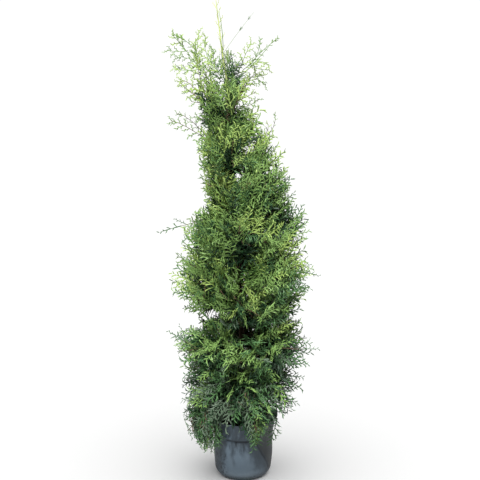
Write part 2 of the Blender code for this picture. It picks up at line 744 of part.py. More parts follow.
class Grower:
    """Grows one mass and keeps what fits its space."""

    def __init__(self, mass, limbs):
        self.mass = mass
        self.limbs = limbs
        self.bodies = []
        self.trees = []
        self.core = None

    def fits(self, body, stretch=1.0, own=None):
        """In the mass's space, off the limbs, and off every body grown so far but its own twig."""
        points, faces = body
        if not self.mass.holds(points, stretch) or touches(self.limbs, points, faces):
            return False
        tree = BVHTree.FromPolygons(points, faces)
        others = [other for k, other in enumerate(self.trees) if k not in (own, self.core)]
        return not any(tree.overlap(other) for other in others)

    def keep(self, body):
        self.bodies.append(body)
        self.trees.append(BVHTree.FromPolygons(*body))
        return len(self.bodies) - 1

    def facing(self, aim, root, upright):
        """Across its aim, an upright spray faces sideways and any other faces outwards and up."""
        mass = self.mass
        outward = (root - mass.centre + mass.along * 0.02).normalized()
        with_mass, at_place, up = SPRAY_FACING
        normal = mass.out * with_mass + outward * at_place + mass.up * up
        if upright:
            normal = aim.cross(mass.up)
        normal = (normal - aim * normal.dot(aim)).normalized()
        return turned(normal, aim, mass.rng.uniform(-SPRAY_TWIST, SPRAY_TWIST))

    def add_spray(self, root, direction, length, twig, stretch=1.0):
        """The longest of a few aims that keeps to the space; left out if none does."""
        rng = self.mass.rng
        upright = rng.random() < UPRIGHT_SHARE or stretch > WISP
        best, best_size = None, 0.0
        for attempt in range(SPRAY_TRIES):
            sway = Vector([rng.uniform(-1, 1) for _ in range(3)]) * SPRAY_SWAY * attempt
            aim = (direction + sway).normalized()
            normal = self.facing(aim, root, upright)
            shape = rng.random()
            for size in SPRAY_SIZES:
                if size <= best_size:
                    break
                body = spray_body(root, aim, normal, length * size, random.Random(shape))
                if self.fits(body, stretch, twig):
                    best, best_size = body, size
                    break
        if best:
            self.keep(best)

    def add_twig(self, root, direction, length):
        for size in TWIG_SIZES:
            end = root + direction * length * size
            body = twig_body(root, end, TWIG_RADIUS, TWIG_TIP_RADIUS)
            if self.fits(body, TWIG_ROOM):
                return end, self.keep(body)
        return None, None

    def add_lone_shoot(self, tip):
        """A long twig and a spray at its end that reaches out to one tip."""
        for share in LONE_STARTS:
            root = self.mass.stem_start.lerp(self.mass.stem_end, share)
            reach = tip - root
            aim = reach.normalized()
            knee = root + reach * LONE_TWIG
            body = twig_body(root, knee, TWIG_RADIUS, TWIG_TIP_RADIUS)
            if self.fits(body, LONE_STRETCH):
                length = reach.length * (1 - LONE_TWIG) + SPRAY_SINK
                self.add_spray(knee - aim * SPRAY_SINK, aim, length, self.keep(body), LONE_STRETCH)
                return

    def cover_core(self, core):
        """Sprays by the golden angle over the core's outer side, each rooted inside it."""
        mass, rng = self.mass, self.mass.rng
        tree = self.trees[self.core]
        middle = sum(core[0], Vector()) / len(core[0])
        turn = rng.uniform(0, 2 * math.pi)
        for k in range(CORE_SPRAYS):
            lift = CORE_TOP_LIFT - CORE_LIFT_RANGE * (k + 0.5) / CORE_SPRAYS
            turn += GOLDEN
            ring = math.sqrt(1 - lift * lift)
            ray = mass.out * lift + (mass.across * math.cos(turn) + mass.up * math.sin(turn)) * ring
            surface = tree.ray_cast(middle, ray.normalized())[0]
            if surface is None:
                continue
            aim = (ray * CORE_AIM[0] + mass.along * CORE_AIM[1]).normalized()
            self.add_spray(surface - ray * ROOT_DEPTH, aim, SPRAY_LENGTH, None)

    def grow(self, core):
        mass, rng = self.mass, self.mass.rng
        if core:
            self.core = self.keep(core)
        if mass.label in LONE_SHOOTS:
            self.add_lone_shoot(Vector(LONE_SHOOTS[mass.label]))
        if core:
            self.cover_core(core)
        start, end = mass.stem_start, mass.stem_end
        stem = mass.along
        across, over = frame_along(stem)
        turn = rng.uniform(0, 2 * math.pi)
        first = FIRST_TWIG[mass.on_bough]
        twigs = TWIGS if core else OPEN_TWIGS
        for k in range(twigs):
            share = first + (0.96 - first) * (k + 0.5) / twigs
            root = start.lerp(end, share)
            turn += GOLDEN
            side = (across * math.cos(turn) + over * math.sin(turn)).normalized()
            angle = TWIG_ANGLE * (1.12 - 0.35 * share)
            direction = (stem * math.cos(angle) + side * math.sin(angle)).normalized()
            width = math.hypot(mass.half[1] * math.cos(turn), mass.half[2] * math.sin(turn))
            tip, twig = self.add_twig(root, direction, TWIG_LENGTH * width / 0.10)
            if tip is None:
                continue
            fan = direction.cross(Vector((0, 0, 1)) + stem * 0.3).normalized()
            fan = turned(fan, direction, rng.uniform(-0.5, 0.5))
            for sign, place in SPRAY_PLACES[: 1 if core else 2]:
                aim = turned(direction, fan.cross(direction), sign * SPRAY_ANGLE)
                length = SPRAY_LENGTH * rng.uniform(0.85, 1.05)
                self.add_spray(root.lerp(tip, place), aim.normalized(), length, twig)
            aim = (direction + stem * 0.35 + Vector((0, 0, 0.10))).normalized()
            self.add_spray(tip - direction * SPRAY_SINK, aim, SPRAY_LENGTH, twig)
        self.add_spray(end - stem * SPRAY_SINK, stem, 1.1 * SPRAY_LENGTH, None, WISP)
        return self.bodies


def stem_points(mass):
    """The stem, from its bough's tip or from inside the trunk."""
    if mass.on_bough:
        first = mass.stem_start
    else:
        back = mass.stem_start - mass.along * STEM_INSIDE
        out = back - trunk_axis(back.z)
        rise = (STEM_RISES[0] + STEM_RISES[1] * mass.index) * math.hypot(out.x, out.y)
        first = trunk_axis(back.z - rise)
    middle = mass.stem_start.lerp(mass.stem_end, STEM_MIDDLE)
    if mass.on_bough:
        return [first, middle, mass.stem_end]
    return [first, mass.stem_start, middle, mass.stem_end]


def stem_radius(height):
    """A stem that leaves the trunk itself."""
    thinnest, thickest = STEM_RADII
    return min(max(STEM_ON_TRUNK * trunk_radius(height), thinnest), thickest)


def make_mass(mass, limbs, trunk_cutter, materials):
    points = stem_points(mass)
    base = limb_size(mass) * BOUGH_TIP_RADIUS if mass.on_bough else stem_radius(points[0].z)
    radii = [base + (STEM_TIP_RADIUS - base) * i / (len(points) - 1) for i in range(len(points))]
    bm = bmesh.new()
    tube(bm, points, radii, STEM_SIDES, turn=mass.azimuth)
    node = object_from("foliage_" + mass.label, bm)
    if not mass.on_bough:
        cut_by(node, trunk_cutter)
        keep_largest(node)
    grower = Grower(mass, limbs)
    core = core_body(mass, limbs) if mass.tier <= CORE_TOP_TIER else None
    bodies = grower.grow(core)
    fuse(node, [body_object(*body) for body in bodies])
    keep_largest(node)
    node.data.materials.clear()
    node.data.materials.append(materials[mass.tier])
    for polygon in node.data.polygons:
        polygon.material_index = 0
    return node


# ------------------------------------------------------------------ limbs to keep clear of


def limb_tree(masses, own):
    """The trunk, every other bough and the pot, each a little fatter than it is."""
    bm = bmesh.new()
    points, radii = trunk_points(LIMB_MARGIN)
    tube(bm, points, [radius * 1.06 for radius in radii], TRUNK_SIDES)
    for mass in masses:
        if mass.on_bough and mass is not own:
            tube(bm, bough_line(mass), bough_radii(mass, LIMB_MARGIN), BOUGH_SIDES, turn=mass.azimuth)
        if not mass.on_bough and mass is not own:
            stem = stem_points(mass)[:2]
            tube(bm, stem, [stem_radius(stem[0].z) + LIMB_MARGIN] * 2, BOUGH_SIDES)
    outer = pot_outline()
    shell = [(radius + POT_MARGIN, height) for radius, height in outer]
    shell.append((shell[-1][0], POT_HEIGHT + POT_MARGIN))
    shell = [(0, 0)] + shell + [(0, POT_HEIGHT + POT_MARGIN)]
    revolve(bm, shell, POT_SEGMENTS, pot_bulge)
    tree = BVHTree.FromBMesh(bm)
    bm.free()
    return tree


# ------------------------------------------------------------------ the whole plant


def foliage_colour(number):
    """Fresh yellow-green at the top, duller and bluer towards the foot."""
    share = (number - TIERS[-1].number) / (LEADER_TIER.number - TIERS[-1].number)
    return tuple(old + (young - old) * share**1.3 for old, young in zip(OLD_GREEN, YOUNG_GREEN))


def main():
    clear_scene()
    bark = make_material("bark", BARK, 0.85)
    bough_bark = make_material("bough_bark", BOUGH_BARK, 0.8)
    numbers = [tier.number for tier in TIERS] + [LEADER_TIER.number]
    greens = {n: make_material(f"foliage_{n:02d}", foliage_colour(n), 0.6) for n in numbers}

    make_pot(make_material("pot", POT_PLASTIC, 0.5))
    make_soil(make_material("soil", COMPOST, 0.95))
    make_trunk(bark)

    bm = bmesh.new()
    points, radii = trunk_points(1.15 * GAP)
    tube(bm, points, radii, TRUNK_SIDES, lobe=TRUNK_LOBE)
    trunk_cutter = object_from("trunk_cutter", bm)

    masses = plan_masses()
    for mass in masses:
        if mass.on_bough:
            make_bough(mass, trunk_cutter, bough_bark)
        make_mass(mass, limb_tree(masses, mass), trunk_cutter, greens)
    bpy.data.objects.remove(trunk_cutter, do_unlink=True)


main()
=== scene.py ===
"""Looks of the potted thuja, laid out as an add-on and run as a script.

The crown grows by the same rule as its solids: a plan of tilted masses up the trunk, a stem in each,
twigs that leave the stem by the golden angle, and here one flat spray of scale shoots on every twig.
"""

import functools
import json
import math
import random
from collections import defaultdict, namedtuple

import bmesh
import bpy
from bpy.props import FloatProperty, FloatVectorProperty, PointerProperty
from bpy.types import Operator, Panel, PropertyGroup
from mathutils import Matrix, Vector, noise

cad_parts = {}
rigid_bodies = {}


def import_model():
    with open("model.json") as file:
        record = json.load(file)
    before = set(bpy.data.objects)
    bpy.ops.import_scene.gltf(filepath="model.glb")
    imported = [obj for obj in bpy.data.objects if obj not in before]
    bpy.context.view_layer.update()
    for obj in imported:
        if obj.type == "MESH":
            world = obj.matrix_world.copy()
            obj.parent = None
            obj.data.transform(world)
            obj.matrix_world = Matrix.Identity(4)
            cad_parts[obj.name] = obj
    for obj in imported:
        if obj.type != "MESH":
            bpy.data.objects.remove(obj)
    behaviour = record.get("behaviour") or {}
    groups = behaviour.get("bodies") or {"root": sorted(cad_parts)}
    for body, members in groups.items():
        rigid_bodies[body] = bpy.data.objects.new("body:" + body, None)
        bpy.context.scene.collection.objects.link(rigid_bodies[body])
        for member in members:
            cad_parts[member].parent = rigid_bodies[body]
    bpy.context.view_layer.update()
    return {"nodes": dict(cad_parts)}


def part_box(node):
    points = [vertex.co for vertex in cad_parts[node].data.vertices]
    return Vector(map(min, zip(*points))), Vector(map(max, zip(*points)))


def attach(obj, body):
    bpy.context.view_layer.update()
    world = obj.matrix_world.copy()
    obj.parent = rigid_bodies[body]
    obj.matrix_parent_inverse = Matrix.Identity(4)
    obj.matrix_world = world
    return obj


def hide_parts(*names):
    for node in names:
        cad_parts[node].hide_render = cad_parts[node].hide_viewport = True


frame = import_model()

POT_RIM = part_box("pot")[1].z
SOIL_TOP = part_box("soil")[1].z
TRUNK_FOOT, TRUNK_TOP = (corner.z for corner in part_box("trunk"))
NODES = sorted(frame["nodes"])
FOLIAGE_NODES = [node for node in NODES if node.startswith("foliage_")]
BOUGH_NODES = [node for node in NODES if node.startswith("bough_")]

bl_info = {
    "name": "Potted Thuja",
    "version": (1, 0, 0),
    "blender": (4, 5, 0),
    "location": "3D View > Sidebar > Thuja",
    "description": "Dresses a potted hedging conifer with bark, twigs, sprays of scale foliage and its pot",
    "category": "Object",
}

GOLDEN = math.radians(137.5)
UP = Vector((0, 0, 1))

# ---- the crown's plan, as the solids have it
SEED = 4107
# height, x, y of the trunk's axis
TRUNK_LINE = (
    (0.205, 0.000, 0.000),
    (0.500, -0.004, 0.004),
    (0.800, -0.014, 0.000),
    (1.100, -0.036, -0.006),
    (1.374, -0.058, -0.002),
    (1.542, -0.061, 0.003),
    (1.672, -0.080, 0.000),
    (1.854, -0.102, -0.002),
)
TRUNK_FOOT_RADIUS = 0.014
TRUNK_TIP_RADIUS = 0.0013
TRUNK_TAPER = 0.9
TRUNK_LOBE = 0.05
FLARE = 0.007
FLARE_HEIGHT = 0.022
# height, how far the foliage reaches in x to the left and to the right
OUTLINE = (
    (0.090, -0.165, 0.135),
    (0.170, -0.205, 0.150),
    (0.280, -0.252, 0.228),
    (0.390, -0.250, 0.226),
    (0.440, -0.248, 0.212),
    (0.507, -0.262, 0.285),
    (0.560, -0.288, 0.250),
    (0.650, -0.250, 0.248),
    (0.726, -0.265, 0.245),
    (0.810, -0.285, 0.292),
    (0.890, -0.240, 0.240),
    (1.050, -0.220, 0.250),
    (1.120, -0.160, 0.195),
    (1.250, -0.160, 0.170),
    (1.340, -0.180, 0.130),
    (1.400, -0.215, 0.045),
    (1.470, -0.195, 0.022),
    (1.530, -0.235, 0.085),
    (1.640, -0.275, 0.130),
    (1.730, -0.272, 0.140),
    (1.800, -0.160, 0.045),
    (1.870, -0.120, -0.060),
)
Tier = namedtuple("Tier", "number height masses spacing first rise start half_height on_bough")
TIERS = (
    Tier(11, 1.635, 4, 90, 0, 46, 0.10, 0.115, False),
    Tier(10, 1.468, 3, 120, 60, 42, 0.12, 0.128, False),
    Tier(9, 1.305, 3, 120, 30, 38, 0.14, 0.130, False),
    Tier(8, 1.155, 3, 120, -30, 34, 0.20, 0.128, True),
    Tier(7, 1.005, 3, 120, 28, 28, 0.23, 0.130, True),
    Tier(6, 0.852, 3, 120, -26, 22, 0.23, 0.130, True),
    Tier(5, 0.700, 4, 90, 12, 14, 0.25, 0.125, True),
    Tier(4, 0.548, 3, 120, -32, 4, 0.25, 0.130, True),
    Tier(3, 0.392, 4, 90, 8, -10, 0.28, 0.118, True),
    Tier(2, 0.262, 3, 90, 105, -42, 0.52, 0.108, True),
)
LEADER_TIER = Tier(12, 1.785, 1, 90, 8, 58, 0.16, 0.090, False)
LEADER_REACH = 0.13
LEADER_WIDTH = 0.6
WIDTH_SHARES = {120: 0.86, 90: 0.72}
LEAST_HALF_WIDTH = 0.085
LEAST_REACH = 0.012
REACH_HEIGHTS = (-0.05, 0.0, 0.05)  # about its own height, where a mass reads the outline
# how far a mass strays from its tier: degrees round the trunk, degrees of rise, height, share of its reach
AZIMUTH_SWAY = 7
RISE_SWAY = 4
HEIGHT_SWAY = 0.010
REACH_SWAY = (0.96, 1.02)
SPACE_STRETCH = 1.30
SPACE_ROOM = 1.08  # masses farther apart than this part half-way, nearer ones by their sizes
LONGEST_RAY = 0.45
RAY_HALVINGS = 12
PATCH_HEIGHT = 1.3  # of a mass's share of the crown's surface, in half heights
SKIRT_TIER = 2
SKIRT_DROP = 0.036
SKIRT_RISE = -25
STEM_SHARES = (-0.92, 0.40)
MASS_MARGIN = 0.0016
BOUGH_BASE_RADIUS = 0.0058
BOUGH_TIP_RADIUS = 0.0036
BOUGH_DROP = 0.75
BOUGH_FOOT = 0.022  # of the lowest boughs, above the soil
BOUGH_BEND = 0.45
FULL_SIZE_TIER = 3  # the boughs get thinner above it
THINNER_BY_TIER = 0.05
STEM_TIP_RADIUS = 0.0016
STEM_INSIDE = 0.02
STEM_PAST = 0.25  # how far a stem goes on behind its last big twig
STEM_MIDDLE = 0.45
STEM_RISES = (0.75, 0.24)  # how steeply a tier's first stem without a bough rises, and what each next adds
YOUNG_STEM_SHARE = 0.58  # of the trunk's radius there
YOUNG_STEM_RADII = (0.0013, 0.0030)
YOUNG_STEM_STEPS = 8
CORE_TOP_TIER = 10  # the crown is open above it

# ---- zones of the crown: name and the tiers in it
ZONES = (("lower", range(2, 5)), ("middle", range(5, 8)), ("upper", range(8, 11)), ("top", range(11, 13)))

# masses with a long shoot that stands out past the crown's outline, and where its tip is
LONE_SHOOTS = {
    (4, 2): (-0.295, -0.050, 0.600),
    (4, 0): (0.300, -0.050, 0.525),
    (6, 0): (0.300, -0.030, 0.812),
    (7, 1): (-0.335, 0.060, 0.970),
}
LONE_START = 0.95
LONE_TWIG = 0.48  # share of it that is bare
LONE_SAG = 0.004
LONE_SIDES = ((1, 0.75), (-1, 0.45))  # side of each frond beside it, and its place on the bare part
LONE_SIDE_TURN = 0.8
LONE_SIDE_SIZES = (0.36, 0.5)
LONE_STRETCH = 3.0
LONE_FRESH_ABOVE = 1.2
LONE_COLOURS = ("deep_green", "leaf_green")  # of a shoot below that height and above it

# ---- how the finer growth fills the plan
TOP_LIFT = 0.97  # sprays cover a mass from its outer end ...
LIFT_RANGE = 1.62  # ... to this much nearer to the trunk
OUTER_DEPTH = (0.86, 1.14)  # share of the way from the middle of a mass to its edge
INNER_DEPTH = (0.42, 0.74)
INNER_SHARE = 0.36  # inner sprays for each outer one
HOLLOW_BELOW = -0.35  # rays steeper down than this lose some of their sprays, so masses stand apart
HOLLOW_SHARE = 0.5
UPRIGHT_SHARES = (0.25, 0.70)  # of sprays in front or at the back, and at either side
SPRAY_TWIST = 0.7
FLAT_FACING = (1.1, 0.5)  # how far the face of a flat spray leans outwards and up
MASS_FACING = (0.8, 0.5)  # how far it leans out with its mass and away from the middle of it
TIER_LIFT = ((2, -0.30), (3, -0.02), (4, 0.16), (6, 0.28), (9, 0.42), (12, 0.45))
SPRAY_PLACES = (0.0, 0.3, 0.6, 0.85, 1.0)  # along a spray, where it has to be clear of the limbs
FLOOR_CLEARANCE = 0.02
LIMB_CLEARANCE = 0.004
POT_CLEARANCE = 0.007
ROUGH_CORNER = 6  # steps round the pot's lower corner where only clearance is measured
TWIG_RADII = (0.0019, 0.0010)
FAN_RADII = (0.0015, 0.0009)
TWIG_STEPS = 4
SIDE_ANGLE = math.radians(44)
SIDE_FROM = 0.04  # twigs longer than this carry a side spray
SIDE_SIZE = 0.85
SPRAY_SIZES = (1.0, 0.85, 0.72, 0.60)
LENGTH_SWAY = (0.80, 1.15)
SHELL_AIM = (0.62, 0.60, 0.30)  # of a spray: along its ray, along the stem and by chance
TWIG_BEND = (0.35, 0.2)  # of a spray's twig: along the stem and straight on
STEM_PLACES = (0.22, 0.03)  # how far behind its spray a twig leaves the stem, and the first place there
# height, share of its reach that the crown fills thickly to the left and to the right
THICK_REACH = (
    (0.09, 1.50, 1.00),
    (0.22, 1.06, 0.92),
    (0.31, 1.00, 1.02),
    (0.38, 1.00, 1.20),
    (0.43, 1.00, 1.20),
    (0.50, 1.00, 1.04),
    (0.585, 0.96, 0.98),
    (0.600, 0.66, 0.96),
    (0.625, 0.52, 0.96),
    (0.650, 0.78, 0.96),
    (0.68, 1.00, 0.98),
    (1.01, 1.06, 1.08),
    (1.055, 0.94, 1.12),
    (1.085, 0.78, 1.22),
    (1.12, 0.95, 1.18),
    (1.15, 1.14, 1.14),
    (1.24, 1.18, 1.12),
    (1.33, 1.04, 1.12),
    (1.37, 0.88, 1.10),
    (1.44, 0.86, 0.72),
    (1.53, 0.78, 0.46),
    (1.64, 0.74, 0.40),
)
NEAR_AXIS = 0.001
WISP_SHARE = 0.05  # sprays that may pass it
WISP_STRETCH = 1.03  # how far they may pass the crown's outline
END_STRETCH = 1.08  # how far the spray at a stem's end may pass it
# gaps that show sky from the front: x, height, how steeply they fall to the back, radius
SKY_GAPS = (
    (0.014, 1.298, 0.05, 0.0265),
    (-0.014, 1.207, 0.08, 0.018),
    (-0.115, 0.656, 0.25, 0.024),
    (-0.205, 0.634, 0.25, 0.028),
)
BARE_TRUNK = (1.40, 1.47)  # where the trunk shows between the sprays
BARE_WIDTH = 0.006
# where the pot's wall shows in front: x from, x to, and height up to
BARE_WALLS = ((-0.078, -0.008, 0.230), (0.106, 0.200, 0.255))
# hanging sprays round the pot: tier 2's index, degrees from its middle and to either side, number,
# lowest tip, spread of the tips upwards, farthest from the wall
SKIRT = (
    (0, 0, 40, 18, 0.150, 0.07, 0.055),
    (1, 12, 30, 140, 0.026, 0.15, 0.085),
    (1, -48, 26, 36, 0.140, 0.10, 0.050),
    (2, 16, 19, 14, 0.150, 0.07, 0.055),
)
SKIRT_GAP = 0.014  # between their tips and the wall
SKIRT_LEAN = (-0.30, 0.25)  # inwards and outwards
SKIRT_FALL = 1.4  # how much more of the tips hang low
SKIRT_UPRIGHT = 0.3  # share that face sideways
SKIRT_STRETCH = 1.3
SKIRT_STRAY = 0.22
SKIRT_ARCH = 0.2  # how far their twigs bend outwards and up
SKIRT_COLOURS = ("dull_green", "leaf_green", "deep_green", "deep_green")
# sprays that leave the trunk itself between the masses
TRUNK_SPRAYS_FROM = 0.06  # above the soil
TRUNK_SPRAY_STEP = 0.0055
TRUNK_SPRAY_REACH = (0.02, 0.5)  # how far out they start, as shares of the crown's reach
TRUNK_SPRAY_INSIDE = 0.98  # of the crown's outline
TRUNK_SPRAY_SWAY = (0.8, 1.1)
TRUNK_SPRAY_RISE = 0.5
TRUNK_TWIG_SAG = 0.1
TRUNK_SPRAY_AIM = (0.75, 0.55, 0.35)  # outwards, up and by chance
TRUNK_SHADED = 0.4  # share of them that is shaded
# how much painted light the sprays from the trunk get
TRUNK_LIGHT = 0.4
FRONT_SIDE = 0.25  # directions with less +Y than this count as the front
BARK_GAP = 0.006  # between the bark and the foot of a spray
LOW_TRUNK = 0.46  # below it they stand closer, by this share of the step
LOW_TRUNK_SHARE = 0.45
TRUNK_SPRAY_TOP = 1.53
INNER_TOP = 1.40  # shaded sprays above it stay short, by the next share
INNER_TOP_SIZE = 0.4
# the neck and core clumps by the trunk take the near-black painted shade colour among theirs
NECK_COLOURS = ("leaf_green", "deep_green", "shade_green")
CORE_COLOURS = ("deep_green", "deep_green", "shade_green")
FLANK_COLOURS = ("fresh_green", "leaf_green", "leaf_green")
# clumps of sprays from the trunk: heights, step, length, lean to the right, lean forwards, zone, colours
CLUMPS = (
    (1.38, 1.500, 0.0040, 0.055, (0.1, 0.50), (0.0, 0.7), "upper", NECK_COLOURS),
    (1.47, 1.575, 0.0034, 0.074, (0.2, 1.05), (-0.1, 0.6), "top", CORE_COLOURS),
    (1.20, 1.390, 0.0028, 0.130, (0.6, 2.20), (-0.1, 0.9), "upper", FLANK_COLOURS),
)
CLUMP_SWAY = (0.7, 1.15)
CLUMP_FACE = Vector((0.3, -1.0, 0)).normalized()
# curved shoots of the open top: the mass they leave, where on its stem, a place on the way, the tip,
# size of their branchlets
FANS = (
    ((11, 2), 0.50, (-0.187, -0.01, 1.680), (-0.262, -0.02, 1.730), 0.85),
    ((11, 2), 0.45, (-0.178, 0.01, 1.646), (-0.181, 0.02, 1.712), 1.0),
    ((11, 2), 0.30, (-0.204, 0.00, 1.640), (-0.258, 0.01, 1.641), 1.0),
    ((11, 2), 0.05, (-0.205, 0.02, 1.598), (-0.256, 0.02, 1.605), 1.0),
    ((10, 1), 0.55, (-0.200, -0.01, 1.546), (-0.240, -0.02, 1.553), 1.0),
    ((10, 1), 0.40, (-0.180, 0.02, 1.508), (-0.220, 0.03, 1.520), 1.0),
    ((11, 3), 0.20, (-0.133, -0.04, 1.642), (-0.140, -0.06, 1.722), 1.0),
    ((10, 1), 0.60, (-0.165, -0.03, 1.580), (-0.170, -0.04, 1.640), 1.1),
    ((10, 1), 0.50, (-0.140, 0.02, 1.570), (-0.128, 0.03, 1.625), 1.1),
    ((11, 3), 0.00, (-0.095, -0.03, 1.575), (-0.088, -0.05, 1.635), 1.1),
    ((11, 3), 0.05, (-0.105, -0.03, 1.610), (-0.112, -0.04, 1.672), 1.0),
    ((11, 0), 0.20, (0.004, -0.02, 1.645), (0.030, -0.03, 1.700), 1.0),
    ((11, 0), 0.55, (0.050, 0.00, 1.648), (0.064, 0.00, 1.715), 0.75),
    ((11, 0), 0.70, (0.080, 0.01, 1.676), (0.132, 0.02, 1.718), 0.55),
    ((11, 0), 0.40, (0.050, -0.02, 1.628), (0.096, -0.03, 1.615), 0.8),
    ((10, 0), 0.80, (0.026, 0.02, 1.561), (0.086, 0.01, 1.541), 1.0),
    ((10, 0), 0.85, (0.033, 0.03, 1.576), (0.078, 0.03, 1.578), 1.0),
    ((10, 2), 0.70, (0.006, -0.04, 1.495), (0.046, -0.04, 1.516), 1.1),
    ((10, 2), 0.50, (0.012, -0.03, 1.462), (0.058, -0.03, 1.490), 1.1),
    ((10, 0), 0.50, (0.000, 0.02, 1.440), (0.040, 0.03, 1.455), 1.1),
    ((10, 2), 0.85, (0.000, -0.05, 1.530), (0.028, -0.05, 1.560), 1.1),
    ((9, 1), 0.90, (-0.215, 0.00, 1.385), (-0.274, -0.01, 1.408), 1.1),
    ((9, 1), 0.75, (-0.195, 0.02, 1.405), (-0.256, 0.02, 1.436), 0.8),
    ((9, 0), 1.00, (0.116, 0.02, 1.385), (0.121, 0.02, 1.440), 0.5),
    ((9, 0), 0.90, (0.095, 0.03, 1.375), (0.090, 0.04, 1.405), 0.7),
)
FAN_TILT = 0.3  # how far their faces may turn from the front
BRANCHLET_STEP = 0.0138
BRANCHLET_FIRST = 0.7  # place of the first one, in steps
BRANCHLET_TURNS = (1.05, 0.35)  # their angle at the foot of a shoot, and how much less it is at the tip
BRANCHLET_SWAY = (0.75, 1.15)
BRANCHLET_STRAY = 0.15
SHOOT_LIGHT = 0.20  # how much brighter than its mass an open shoot is, as painted light
BRANCHLETS = (0.040, 0.022)  # their lengths at the foot of a shoot and at its tip
# heights of a shoot close beside the leader, and how far off it is
TWIN_SHOOT = (1.650, 1.735, 1.815, 0.010)
# the long thin side shoot by the leader's tip: its foot on the trunk, a place on the way, its tip
SIDE_SHOOT = (1.655, (-0.030, 0.0, 1.722), (0.038, 0.0, 1.808))
SIDE_RADII = (0.0009, 0.0005)
TWIN_BENDS = (1.5, 0.6)  # how far off the twin shoot is half-way and at its tip
TUFTS = ((0.62, "deep_green", 4), (0.86, "deep_green", 3))  # place along it, colour and number of sprays
TUFT_SIZE = 0.016
TUFT_STRAY = 0.5
TIP_SWAY = (0.8, 1.2)
# fronds of the open top
FROND_STEP = 0.042
FROND_ANGLE = math.radians(52)
FROND_SIZES = (1.0, 0.88, 0.76, 0.65, 0.54, 0.44)
FROND_TOPS = {(11, 0): 1.630, (11, 1): 1.665, (11, 3): 1.650}  # how high the fronds of a mass may reach
FROND_TOP = 1.745
LEAST_FROND = 0.03
FROND_FOOT = 0.03  # how far behind the stem's start the first one leaves
FROND_SWAY = (0.45, 0.75)
FROND_STRETCH = 1.04
FROND_SAG = 0.06
FROND_LIFT = 0.12
FROND_STRAY = 0.25
LAST_FROND_STRAY = 0.1  # of the frond at the stem's end
# small side shoots of the leader
LEADER_STEP = 0.013
LEADER_SHOOT = 0.026
LEADER_SHOOTS_FROM = 1.62
LEADER_BARE_TIP = 0.02
LEADER_GAP = 0.001
LEADER_SHOOT_AIM = (0.85, 0.5)  # up and outwards
LEADER_SHOOT_SWAY = (0.7, 1.2)
YOUNG_TIP_RADIUS = 0.0010
YOUNG_SAG = 0.03  # how far below a straight line the stems in the open top bend
# lower end of each zone
ZONE_FLOORS = ((1.56, "top"), (1.08, "upper"), (0.62, "middle"), (0.0, "lower"))
# colours dealt to the sprays: height and the share of each colour there; the last colour is painted shade,
# most of it low in the crown
COLOUR_NAMES = ("pale_tip", "fresh_green", "leaf_green", "deep_green", "dull_green", "shade_green")
COLOUR_SHARES = (
    (0.10, 0.00, 0.02, 0.16, 0.24, 0.34, 0.24),
    (0.40, 0.00, 0.08, 0.26, 0.24, 0.22, 0.20),
    (0.70, 0.00, 0.22, 0.36, 0.22, 0.08, 0.12),
    (1.00, 0.00, 0.34, 0.36, 0.18, 0.02, 0.10),
    (1.25, 0.01, 0.38, 0.33, 0.18, 0.00, 0.10),
    (1.45, 0.01, 0.30, 0.34, 0.25, 0.00, 0.10),
    (1.58, 0.00, 0.24, 0.40, 0.36, 0.00, 0.00),
    (1.70, 0.00, 0.26, 0.46, 0.28, 0.00, 0.00),
    (1.76, 0.04, 0.36, 0.46, 0.14, 0.00, 0.00),
    (1.90, 0.70, 0.30, 0.00, 0.00, 0.00, 0.00),
)
MASS_BRIGHTNESS = (0.40, 0.46, 0.18)  # in a mass's middle, and what its top and its outer end add: painted light there and painted shade below and inside, besides paler young growth
# how much brighter or darker than the rule some masses are, as painted light and shade
MASS_LIGHT = {
    (11, 0): 0.15, (11, 2): 0.10, (10, 0): 0.20, (10, 2): 0.10,
    (10, 1): 0.14, (9, 1): 0.20, (8, 2): 0.34, (8, 0): -0.36,
    (7, 0): -0.55, (7, 2): -0.20, (6, 0): -0.02, (6, 2): 0.10,
    (4, 2): 0.08, (3, 2): -0.10, (3, 3): -0.10, (2, 1): -0.32,
    (2, 2): -0.30,
}
# how much denser than the rule some masses are
MASS_FILL = {
    (9, 1): 1.25, (8, 2): 1.35, (8, 0): 1.35, (7, 0): 1.35,
    (6, 0): 1.20, (5, 2): 1.15, (4, 2): 1.15, (3, 2): 1.15,
    (3, 0): 1.35,
}
LIGHT_SHARE = 0.45  # how far a spray's place in its mass, with its painted light and shade, decides its colour, against chance
DRY_SHARE = 0.004
DRY_SIZE = 0.55

MOST_FACES = 195000  # in one piece

Spray = namedtuple("Spray", "root aim normal length kind colour zone")
Twig = namedtuple("Twig", "points radii zone")


# ------------------------------------------------------------------ places and directions


def clamped(value, low=0.0, high=1.0):
    return min(max(value, low), high)


def level_way(angle):
    """The level direction at an angle from +X."""
    return Vector((math.cos(angle), math.sin(angle), 0))


def any_sway(rng, size):
    return Vector([rng.uniform(-1, 1) for _ in range(3)]) * size


def square_to(aim, normal):
    """The direction nearest to a normal that is square to an aim."""
    return (normal - aim * normal.dot(aim)).normalized()


def tapered(thick, thin, steps):
    return [thick + (thin - thick) * step / steps for step in range(steps + 1)]


def curve_between(start, bend, end, steps):
    """Points on the parabola from start to end that leaves and arrives through bend."""
    points = []
    for step in range(steps + 1):
        t = step / steps
        points.append((1 - t) ** 2 * start + 2 * t * (1 - t) * bend + t**2 * end)
    return points


def bend_through(start, via, end):
    """The bend that takes the parabola through a place half-way."""
    return via * 2 - (start + end) / 2


def place_on(line, share):
    """The point at a share of a line's length, and the line's direction there."""
    steps = len(line) - 1
    step = min(int(share * steps), steps - 1)
    point = line[step].lerp(line[step + 1], share * steps - step)
    return point, (line[step + 1] - line[step]).normalized()


